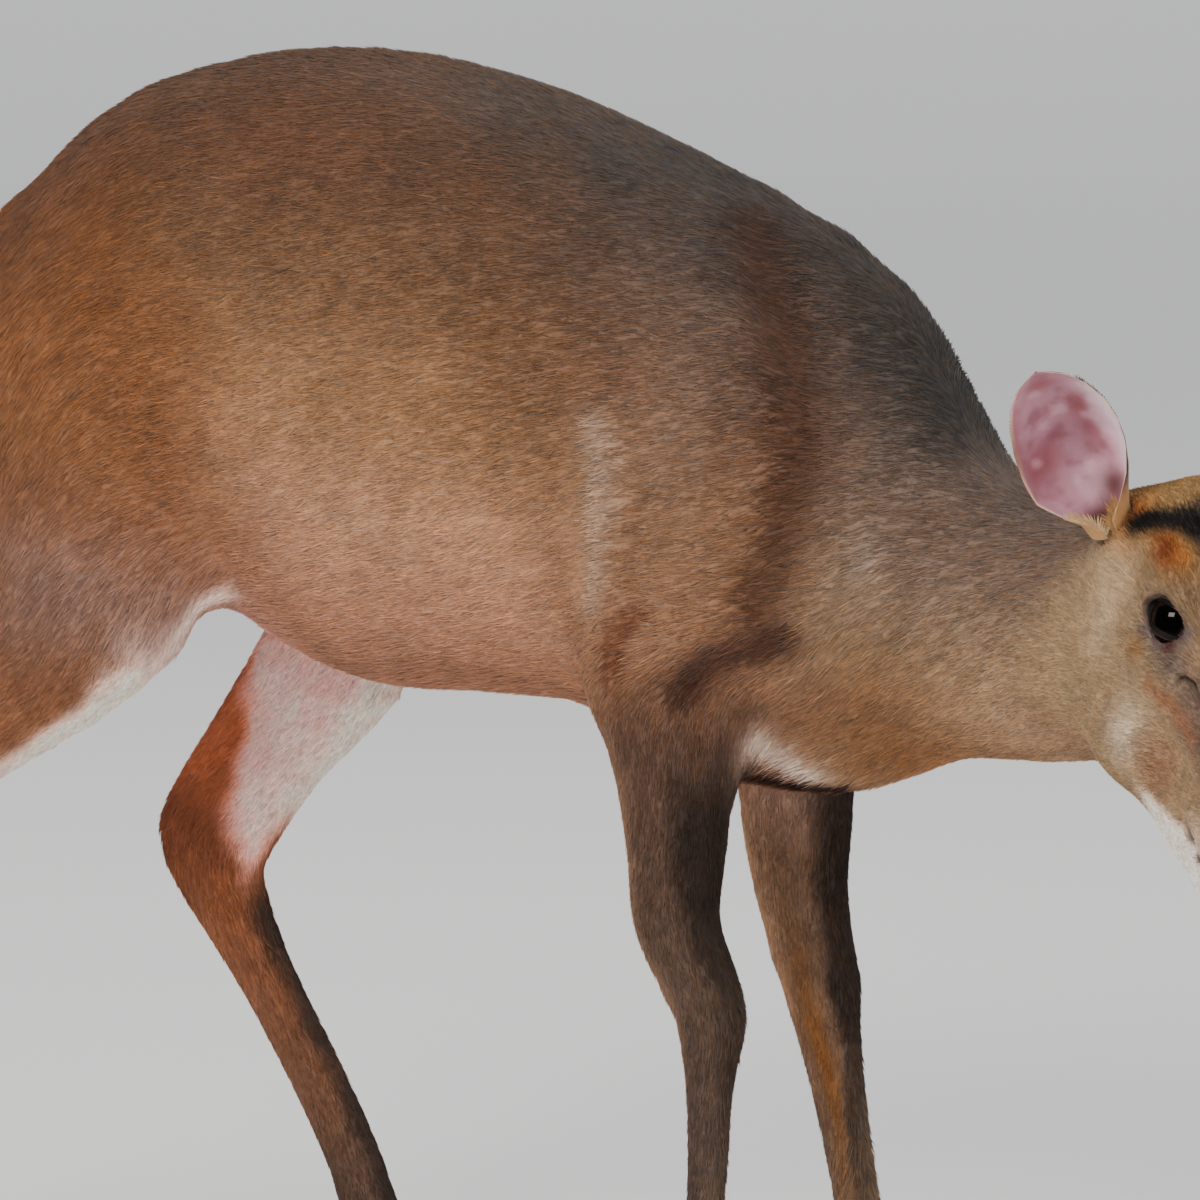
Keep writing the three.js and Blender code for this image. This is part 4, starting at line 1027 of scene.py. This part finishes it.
def grow_tufts(root, normal, way, length, width, rise, colour, uv, bend=None):
    """Tufts as one array of vertices, faces, colours and patches. With a bend they have a joint half way."""
    count = len(root)
    way = unit(way - normal * (way * normal).sum(1)[:, None])
    turn = random.normal(0, 0.16, count)[:, None]
    across = np.cross(normal, way)
    way, across = way * np.cos(turn) + across * np.sin(turn), across * np.cos(turn) - way * np.sin(turn)
    lean = np.sin(rise)[:, None]
    flat = np.cos(rise)[:, None]
    half = (width / 2)[:, None]
    base = root - normal * ROOT_DEPTH
    left, right = base - across * half, base + across * half
    ridge = root + normal * (0.16 * width)[:, None] + way * half
    tip = root + way * flat * length[:, None] + normal * lean * length[:, None]
    light = random.normal(1, 0.075, count)[:, None]
    warm = random.normal(0, 5, count)[:, None] * np.array([1, 0.1, -0.8])
    own = colour * light + warm
    if bend is None:
        verts = np.stack([left, right, ridge, tip], 1)
        shades = np.stack([own * 0.84, own * 0.84, own * 0.92, own * 1.07], 1)
        faces = SHORT_TUFT
        patch = np.array([[-1, -1], [1, -1], [0, -0.6], [0, 1]]) * PATCH / 2
    else:
        middle = (root + tip) / 2 + normal * bend[:, None]
        slim = 0.8
        verts = np.stack([left, right, ridge, middle - across * half * slim, middle + across * half * slim,
                          middle + normal * (0.2 * width)[:, None], tip], 1)
        shades = np.stack([own * 0.8, own * 0.8, own * 0.88, own * 0.98, own * 0.98, own, own * 1.08], 1)
        faces = LONG_TUFT
        patch = np.array([[-1, -1], [1, -1], [0, -1], [-0.7, 0], [0.7, 0], [0, 0], [0, 1]]) * PATCH / 2
    corners = verts.shape[1]
    index = (np.arange(count)[:, None, None] * corners + faces[None]).reshape(-1, 3)
    patches = uv[:, None, :] + patch[None]
    return verts.reshape(-1, 3), index, np.clip(shades.reshape(-1, 3), 0, 255), patches.reshape(-1, 2)


def set_tufts(name, parts, kind=SHORT_TUFT):
    """Joins tufts into pieces of fewer than 200,000 triangles"""
    verts, faces, colours, patches = parts
    per, corners = len(kind), kind.max() + 1
    tufts = len(faces) // per
    step = PIECE_LIMIT // per
    for i, start in enumerate(range(0, tufts, step)):
        stop = min(start + step, tufts)
        vs = slice(start * corners, stop * corners)
        me = mesh_of(f"{name}_{i + 1}", verts[vs], faces[start * per:stop * per] - start * corners)
        set_colours(me, colours[vs])
        set_patches(me, patches[vs])
        piece(f"{name}_{i + 1}", me, coat_material, smooth=False)


def scatter(p, tri, density, count):
    """Random places on triangles, more where the density is higher: triangle and weights of its corners"""
    a, b, c = (p[tri[:, k]] for k in range(3))
    area = np.linalg.norm(np.cross(b - a, c - a), axis=1) / 2
    share = np.cumsum(area * density[tri].mean(1))
    pick = np.searchsorted(share, random.random(count) * share[-1])
    s, t = np.sqrt(random.random(count)), random.random(count)
    weights = np.stack([1 - s, s * (1 - t), s * t], 1)
    return tri[pick], weights


def at_corners(values, corners, weights):
    return (values[corners] * weights[..., None]).sum(1)


face = w["head"] * ramp(in_head(p)[:, 0], 60, 120)
lengths = by_part(w, 6.8, 6.2, 4.2, 5.0, 9) - 1.4 * face
lengths += 6 * blob(p, (110, 0, 266), (26, 40, 14)) + 5 * blob(p, (-28, 0, 285), (44, 30, 12))
lengths *= 1 - 0.35 * ramp(-p[:, 2], -140, -40)
density = by_part(w, 1.0, 1.1, 2.4, 1.5, 0.6) + 1.8 * face
density *= 1 - bare_share(p)
fields = np.concatenate([n, lie, lengths[:, None]], 1)
corners, weights = scatter(p, tri, density, TUFTS)
root = at_corners(p, corners, weights)
values = at_corners(fields, corners, weights)
root_w = skin_weights(root)
length = values[:, 6] * random.uniform(0.75, 1.25, TUFTS)
width = np.clip(length * 0.135, 0.4, 1.15) * random.uniform(0.8, 1.2, TUFTS)
rise = np.radians(random.uniform(4, 10, TUFTS))
colour = lid_colour(root, coat_colour(root, root_w))
tufts = grow_tufts(root, unit(values[:, :3]), values[:, 3:6], length, width, rise, colour,
                   unwrap(root, root_w))
set_tufts("coat", tufts)

# Eyes
eye_glass, nt, bsdf = new_material("eye")
nt.links.new(painted(nt), bsdf.inputs["Base Color"])
set_inputs(bsdf, Roughness=0.04, IOR=1.38, Specular_IOR_Level=0.3)
for side, label in SIDES:
    fore, out, up = eye_axes(side)
    rows, columns = 40, 64
    theta = np.linspace(0.001, math.pi - 0.001, rows)
    phi = np.linspace(0, 2 * math.pi, columns, endpoint=False)
    T, F = np.meshgrid(theta, phi, indexing="ij")
    bulge = 1 + 0.03 * np.exp(-(T / 0.55) ** 2)
    radius = (EYE_RADIUS - 0.4) * bulge
    x, y, z = radius * np.sin(T) * np.cos(F), radius * np.sin(T) * np.sin(F), radius * np.cos(T)
    verts = eye_place(side) + (x[..., None] * fore + y[..., None] * up + z[..., None] * out).reshape(-1, 3)
    pupil = np.hypot(np.sin(T) * np.cos(F) / 0.62, np.sin(T) * np.sin(F) / 0.4).ravel()
    c = mix(np.tile([26.0, 15, 10], (len(verts), 1)), (6, 5, 5), ramp(-pupil, -1.15, -0.9))
    c = mix(c, (34, 30, 30), ramp(T.ravel(), 0.98, 1.15))
    me = mesh_of(f"eye_{label}_ball", verts, grid_faces(rows, columns)[:, ::-side])
    set_colours(me, c)
    piece(f"eyeball_{label}", me, eye_glass, [f"eye_{label}"])

# Lids: a ring of skin round each eye, from the wet edge on the ball out onto the head
LID_STEPS = [-1.3, -0.5, 0.0, 0.35, 0.8, 1.4, 2.1, 2.8, 3.6, 4.6, 5.8, 7.2, 8.8]
LID_LIFT = [-0.35, 0.0, 0.35, 0.6, 0.75, 0.85, 0.85, 0.85, 0.8, 0.8, 0.7, 0.6, 0.6]


def onto_skin(point, out):
    """The place on the skin before the pits were sunk, met from outside"""
    hit = smooth_skin.ray_cast(Vector(point + out * 30), Vector(-out), 60)[0]
    return point if hit is None else np.array(hit)


for side, label in SIDES:
    at = eye_place(side)
    fore, out, up = eye_axes(side)
    columns = 96
    phi = np.linspace(0, 2 * math.pi, columns, endpoint=False)
    edge_u, edge_v = opening_edge(phi)
    far = np.hypot(edge_u, edge_v)
    rows = []
    for step, lift in zip(LID_STEPS, LID_LIFT):
        u = edge_u * (1 + step / far)
        v = edge_v * (1 + step / far)
        ball = np.sqrt(np.maximum((EYE_RADIUS + 0.1) ** 2 - u**2 - v**2, 25))
        fold = 0.35 * ramp(edge_v, 2, 6) * ramp(np.array([step]), 0.2, 1.0)[0]
        place = at + u[:, None] * fore + v[:, None] * up + (ball + lift + fold)[:, None] * out
        if step > 0.5:
            on = np.array([onto_skin(point, out) for point in place])
            share = ramp(np.array([step]), 0.5, 5.8)[0]
            sink = 1.4 * ramp(np.array([step]), 3.4, 6.6)[0]
            place = place * (1 - share) + (on + out * (0.3 - sink)) * share
        rows.append(place)
    ring = np.concatenate(rows)
    me = mesh_of(f"lids_{label}", ring, grid_faces(len(rows), columns)[:, ::-side])
    steps = np.repeat(LID_STEPS, columns)
    c = lid_colour(ring, coat_colour(ring))
    c = mix(c, (20, 16, 17), ramp(-steps, -0.6, 0.0))
    set_colours(me, c)
    piece(f"lids_{label}", me, skin_material)

# Ears: a cupped leaf with a thin edge, as the solids have it. Each row is the share of the length, half width,
# half arc in degrees and shift.
EAR_STATIONS = np.array([
    [-0.1, 9, 170, 0], [0.04, 10.5, 162, 0.5], [0.15, 15, 132, 2], [0.27, 19.5, 108, 3], [0.41, 21.3, 92, 2],
    [0.56, 21.3, 80, 0.8], [0.7, 19.5, 72, 0], [0.83, 15.5, 64, 0], [0.93, 10, 56, 0], [1.0, 4, 50, 0],
])
EAR_AT = [25, 45, 59.5]
EAR_WAY = [-0.08, 0.67, 0.73]
EAR_HOLLOW = [0.93, 0.3, 0.05]
# Darker and redder patches inside the ear: place across, place along, half width, half length, strength
EAR_PATCHES = [(-0.15, 0.87, 0.34, 0.06, 0.75), (0.3, 0.62, 0.2, 0.09, 0.9), (0.22, 0.42, 0.16, 0.09, 0.6),
               (-0.55, 0.36, 0.36, 0.1, 0.95), (-0.22, 0.66, 0.12, 0.04, 0.6), (-0.85, 0.6, 0.12, 0.22, 0.5)]


ear_skin, bsdf = grained("ear", 300.0, 4.0, (0, 1, 0.86, 1.14), 0.35, 0.0004)
set_inputs(bsdf, Roughness=0.5, Subsurface_Weight=0.25, Subsurface_Radius=(1.0, 0.35, 0.25),
           Subsurface_Scale=0.003, Sheen_Weight=0.2)


def ear_colours(verts, s, t, inside):
    """Pink and mottled within, pale on the edge next to the crown, brown and dark-edged behind. s runs from
    -1 on the lobe's side to 1 on the crown's."""
    fur = np.tile(np.array([112.0, 88, 70]), (len(verts), 1))
    fur = mix(fur, (70, 54, 48), ramp(t, 0.4, 1.0))
    fur = mix(fur, (78, 40, 34), ramp(s, 0.55, 0.95) * ramp(t, 0.1, 0.3))
    fur = mix(fur, (186, 140, 92), ramp(-t, -0.28, -0.1))
    pink = np.tile(np.array([176.0, 132, 146]), (len(verts), 1))
    for across, up, wide, tall, strength in EAR_PATCHES:
        patch = np.exp(-((s - across + 0.1 * noise(verts, 8, 33)) / wide) ** 2 - ((t - up) / tall) ** 2)
        pink = mix(pink, (142, 78, 84), strength * patch)
    mottle = noise(verts, 7, 31) + 0.6 * noise(verts, 3.5, 32)
    pink = mix(pink, (148, 96, 106), 0.8 * ramp(mottle, 0.1, 0.9))
    pink = mix(pink, (198, 164, 174), 0.6 * ramp(-mottle, 0.25, 0.9))
    pale = ramp(s + 0.12 * noise(verts, 9, 34), 0.25, 0.85) * ramp(t, 0.12, 0.3) * ramp(-t, -0.92, -0.75)
    pink = mix(pink, (226, 210, 218), pale * 0.9)
    pink = mix(pink, (96, 56, 56), 0.9 * np.exp(-((t - 0.14) / 0.055) ** 2 - ((s - 0.38) / 0.26) ** 2))
    pink = mix(pink, (110, 66, 70), ramp(-t, -0.12, 0.0))
    rim = ramp(np.abs(s), 0.9, 0.99)
    pink = mix(pink, (206, 178, 158), rim * 0.8)
    pink = mix(pink, (132, 84, 62), rim * ramp(-s, 0.5, 0.9) * np.exp(-((t - 0.55) / 0.14) ** 2) * 0.7)
    return np.where(inside[:, None], pink, fur)


EAR_HAIRS = 4200
ROOT_HAIRS = 700
for side, label in SIDES:
    way = unit(head_way(np.array(EAR_WAY) * [1, side, 1]))
    face_way = head_way(np.array(EAR_HOLLOW) * [1, side, 1])
    hollow = unit(face_way - way * (face_way @ way))
    across = np.cross(way, hollow)
    root_at = head_point(np.array(EAR_AT) * [1, side, 1])
    rows, columns = 56, 44
    ts = np.linspace(-0.06, 1, rows)
    outer, inner = [], []
    for t in ts:
        half, arc, shift = (np.interp(t, EAR_STATIONS[:, 0], EAR_STATIONS[:, k]) for k in (1, 2, 3))
        arc = math.radians(arc)
        if t > 0.9:
            half *= math.sqrt(max(1 - ((t - 0.9) / 0.101) ** 2, 0.01))
        radius = half / math.sin(min(arc, math.pi / 2))
        back = radius * math.cos(arc) if arc < math.pi / 2 else 0
        angles = np.linspace(-arc, arc, columns)
        edge = np.abs(np.linspace(-1, 1, columns))
        thick = np.interp(edge, [0, 0.7, 0.95, 1], [2.2, 1.7, 1.0, 0.3]) * (1 - 0.5 * max(t, 0))
        squash = np.interp(math.degrees(arc), [88, 120], [1, 0.85])
        folds = np.cos(np.linspace(-1, 1, columns) * math.pi * 4.5)
        ridge = 0.7 * folds * math.exp(-((t - 0.34) / 0.26) ** 2)
        open_share = 0.12 + 0.88 * float(ramp(np.array(t), 0.0, 0.2))  # the cup closes towards its root
        within = (radius - 0.4 - thick - ridge * (1 - edge)) * (edge + (1 - edge) * open_share)
        for rows_out, r in ((outer, radius - 0.4 + 0 * edge), (inner, within)):
            ring = (root_at + way * EAR_LENGTH * t + hollow * back + across * side * shift
                    + np.outer(r * np.sin(angles), across) - np.outer(r * np.cos(angles) * squash, hollow))
            rows_out.append(ring)
    verts = np.concatenate([np.concatenate([o, i[::-1]]) for o, i in zip(outer, inner)])
    me = mesh_of(f"ear_{label}_shell", verts, grid_faces(rows, columns * 2))
    line = np.linspace(-1, 1, columns) * -side
    s = np.tile(np.concatenate([line, line[::-1]]), rows)
    t_all = np.repeat(ts, columns * 2)
    inside = np.tile(np.repeat([False, True], columns), rows)
    set_colours(me, deepened(ear_colours(verts, s, t_all, inside)))
    piece(f"ear_{label}_leaf", me, ear_skin, [f"ear_{label}"])

    # Short hair behind the ear, and a fringe of fine hair along its edge
    outer, inner = np.array(outer), np.array(inner)
    row = np.clip((random.uniform(0.02, 0.82, EAR_HAIRS) * (rows - 1)).astype(int), 1, rows - 2)
    column = random.integers(6, columns - 6, EAR_HAIRS)
    fringe = random.random(EAR_HAIRS) < 0.2
    column = np.where(fringe, np.where(random.random(EAR_HAIRS) < 0.5, 1, columns - 2), column)
    at = outer[row, column]
    normal = unit(outer[row, column] - inner[row, column])
    edge_way = unit(outer[row, np.where(column > columns // 2, columns - 1, 0)] - outer[row, columns // 2])
    lie_way = unit(outer[row + 1, column] - outer[row - 1, column])
    lie_way += edge_way * np.where(fringe, 0.9, 0.1)[:, None]
    share = np.linspace(-1, 1, columns)[column] * -side
    colour = ear_colours(at, share, ts[row], np.zeros(EAR_HAIRS, bool))
    colour = mix(colour, (204, 180, 158), np.where(fringe, np.where(share < 0, 0.8, 0.55), 0.0))
    length = np.where(fringe, 1.3, 3.4) * random.uniform(0.7, 1.2, EAR_HAIRS)
    length *= np.interp(ts[row], [0.2, 0.4], [0.15, 1])
    uv = np.stack([0.5 + 0.2 * ts[row], 0.5 + 0.2 * share], 1)
    rise = np.radians(random.uniform(2, 7, EAR_HAIRS))
    hair = grow_tufts(at, normal, lie_way, length, np.full(EAR_HAIRS, 0.5), rise, deepened(colour), uv)
    set_tufts(f"ear_hair_{label}", hair)

    # Longer pale hair that grows up over the root of the ear, and in from its edges
    row = random.integers(0, 9, ROOT_HAIRS)
    column = random.integers(0, columns, ROOT_HAIRS)
    from_edge = random.random(ROOT_HAIRS) < 0.45
    last = random.random(ROOT_HAIRS) < 0.5
    column = np.where(from_edge, np.where(last, columns - 2, 1), column)
    at = outer[row, column]
    normal = unit(outer[row, column] - inner[row, column])
    opposite = unit(outer[row, np.where(last, 1, columns - 2)] - at)
    up_way = unit(outer[row + 2, column] - outer[row, column])
    lie_way = np.where(from_edge[:, None], up_way * 0.9 + opposite * 0.5 + hollow * 0.25, up_way)
    normal = np.where(from_edge[:, None], hollow, normal)
    share = np.linspace(-1, 1, columns)[column] * -side
    colour = mix(np.tile([196.0, 168, 132], (ROOT_HAIRS, 1)), (176, 138, 94), ramp(share, -0.1, 0.7))
    length = random.uniform(5, 9, ROOT_HAIRS) * np.where(from_edge, 1, 0.6)
    uv = np.stack([0.8 + 0.01 * row, 0.8 + 0.1 * share], 1)
    rise = np.radians(random.uniform(2, 9, ROOT_HAIRS))
    hair = grow_tufts(at, normal, lie_way, length, np.full(ROOT_HAIRS, 0.7), rise, deepened(colour), uv)
    set_tufts(f"ear_root_{label}", hair)

# Hooves and dewclaws: fine rings across the horn
horn, nt, bsdf = new_material("horn")
link = nt.links.new
place = nt.nodes.new("ShaderNodeTexCoord")
stretch = add_node(nt, "ShaderNodeMapping", Scale=(60, 60, 520))
link(place.outputs["Object"], stretch.inputs["Vector"])
rings = add_node(nt, "ShaderNodeTexNoise", Scale=1.0, Detail=3.0, Roughness=0.55)
link(stretch.outputs["Vector"], rings.inputs["Vector"])
shades = nt.nodes.new("ShaderNodeValToRGB")
shades.color_ramp.elements[0].color = (0.018, 0.013, 0.011, 1)
shades.color_ramp.elements[1].color = (0.09, 0.066, 0.05, 1)
link(rings.outputs["Fac"], shades.inputs["Fac"])
link(shades.outputs["Color"], bsdf.inputs["Base Color"])
bump = add_node(nt, "ShaderNodeBump", Strength=0.5, Distance=0.0004)
link(rings.outputs["Fac"], bump.inputs["Height"])
link(bump.outputs["Normal"], bsdf.inputs["Normal"])
set_inputs(bsdf, Roughness=0.38)
for name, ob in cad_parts.items():
    if name.startswith(("hoof_", "dewclaw_")):
        ob.data.materials.clear()
        ob.data.materials.append(horn)

# Tail fringe
count = 4600
place = random.uniform(0.22, 0.98, count)
index = (place * (len(tail_thread.at) - 1)).astype(int)
angle = random.uniform(-math.pi, math.pi, count)
sin, cos = np.sin(angle), np.cos(angle)
deep = np.where(cos > 0, tail_thread.front[index], tail_thread.back[index]) * 0.6
out = unit(tail_thread.aside[index] * sin[:, None] + tail_thread.fore[index] * cos[:, None])
root = (tail_thread.at[index] + tail_thread.aside[index] * (sin * tail_thread.side[index] * 0.6)[:, None]
        + tail_thread.fore[index] * (cos * deep)[:, None])
below = ramp(cos, -0.1, 0.3)
colour = deepened(mix(np.tile([146.0, 84, 46], (count, 1)), (240, 230, 216), below))
length = np.interp(below, [0, 1], [22, 32]) * random.uniform(0.7, 1.15, count)
length *= np.interp(place, [0.2, 1], [0.8, 1])
width = random.uniform(0.8, 1.6, count)
uv = np.stack([0.755 + 0.23 * place, 0.25 + angle / math.pi * 0.24], 1)
fringe = grow_tufts(root, out, tail_thread.tangent[index] + out * 0.12, length, width,
                    np.radians(random.uniform(4, 16, count)), colour, uv, np.full(count, 2.0))
set_tufts("tail_fringe", fringe, LONG_TUFT)
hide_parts("tail")

# Floor and backdrop: a pale disc that turns up into a far round wall, so that no horizon shows
def bowl(name, profile):
    """A round stage from pairs of radius and height"""
    around = 96
    turn = np.linspace(0, 2 * math.pi, around, endpoint=False)
    rings = [np.stack([r * np.cos(turn), r * np.sin(turn), np.full(around, z)], 1) for r, z in profile]
    me = mesh_of(name, np.concatenate(rings), grid_faces(len(rings), around)[:, ::-1])
    me.materials.append(stage_material)
    me.polygons.foreach_set("use_smooth", np.full(len(me.polygons), True))
    ob = bpy.data.objects.new(name, me)
    bpy.context.scene.collection.objects.link(ob)
    return ob


stage_material, nt, bsdf = new_material("stage")
set_inputs(bsdf, Base_Color=(0.9, 0.89, 0.87, 1), Roughness=0.9, Specular_IOR_Level=0.2,
           Emission_Color=(1, 1, 1, 1))
place = nt.nodes.new("ShaderNodeTexCoord")
away = nt.nodes.new("ShaderNodeVectorMath")
away.operation = "LENGTH"
glow = add_node(nt, "ShaderNodeMapRange", From_Min=3, From_Max=12, To_Min=0, To_Max=0.16)
nt.links.new(place.outputs["Object"], away.inputs[0])
nt.links.new(away.outputs["Value"], glow.inputs["Value"])
nt.links.new(glow.outputs["Result"], bsdf.inputs["Emission Strength"])
FLOOR_RADIUS, BEND, WALL = 7000, 5000, 9000
TURNS = np.linspace(0, math.pi / 2, 24)
bend = [(FLOOR_RADIUS + BEND * math.sin(a), BEND * (1 - math.cos(a))) for a in TURNS]
bowl("floor", [(0.5, 0), (2500, 0), (FLOOR_RADIUS, 0)]).visible_glossy = False
backdrop = bowl("backdrop", bend + [(FLOOR_RADIUS + BEND, BEND + WALL)])
backdrop.visible_diffuse = False
backdrop.visible_glossy = False
backdrop.visible_shadow = False

world = bpy.data.worlds.new("studio")
bpy.context.scene.world = world
world.use_nodes = True
world.cycles_visibility.glossy = False
set_inputs(world.node_tree.nodes["Background"], Color=(0.94, 0.96, 1.0, 1), Strength=0.68)

TURN, TILT, FAR, FOCUS = math.radians(33), math.radians(7), 3200, 322.4
right = np.array([math.cos(TURN), math.sin(TURN), 0])
back = np.array([math.sin(TURN) * math.cos(TILT), -math.cos(TURN) * math.cos(TILT), math.sin(TILT)])
above = np.cross(back, right)


middle = np.array([0, 0, FOCUS])


def area_light(name, towards, sideways, raised, size, power, colour=(1, 1, 1)):
    """A light that aims at the middle, from a place towards the camera, to its right and raised"""
    at = middle + back * towards + right * sideways + [0, 0, raised]
    data = bpy.data.lights.new(name, "AREA")
    data.shape = "RECTANGLE"
    data.size, data.size_y = size
    data.energy = power
    data.color = colour
    ob = bpy.data.objects.new(name, data)
    ob.location = metres(at)
    ob.rotation_euler = Vector(metres(middle) - metres(at)).to_track_quat("-Z", "Y").to_euler()
    bpy.context.scene.collection.objects.link(ob)


area_light("key", 2200, -1500, 1400, (1.3, 0.9), 60, (1, 0.95, 0.88))
area_light("fill", 2000, 1800, 500, (1.2, 1.0), 15, (1, 0.97, 0.94))
area_light("top", -900, 0, 2300, (2.0, 2.0), 24)

camera = bpy.data.cameras.new("camera")
camera.sensor_width = 36
camera.sensor_height = 36
camera.sensor_fit = "HORIZONTAL"
camera.lens = 240
camera.clip_end = 200
shot = bpy.data.objects.new("camera", camera)
shot.matrix_world = Matrix([[right[k], above[k], back[k], metres(middle + back * FAR)[k]] for k in range(3)]
                           + [[0, 0, 0, 1]])
bpy.context.scene.collection.objects.link(shot)
bpy.context.scene.camera = shot
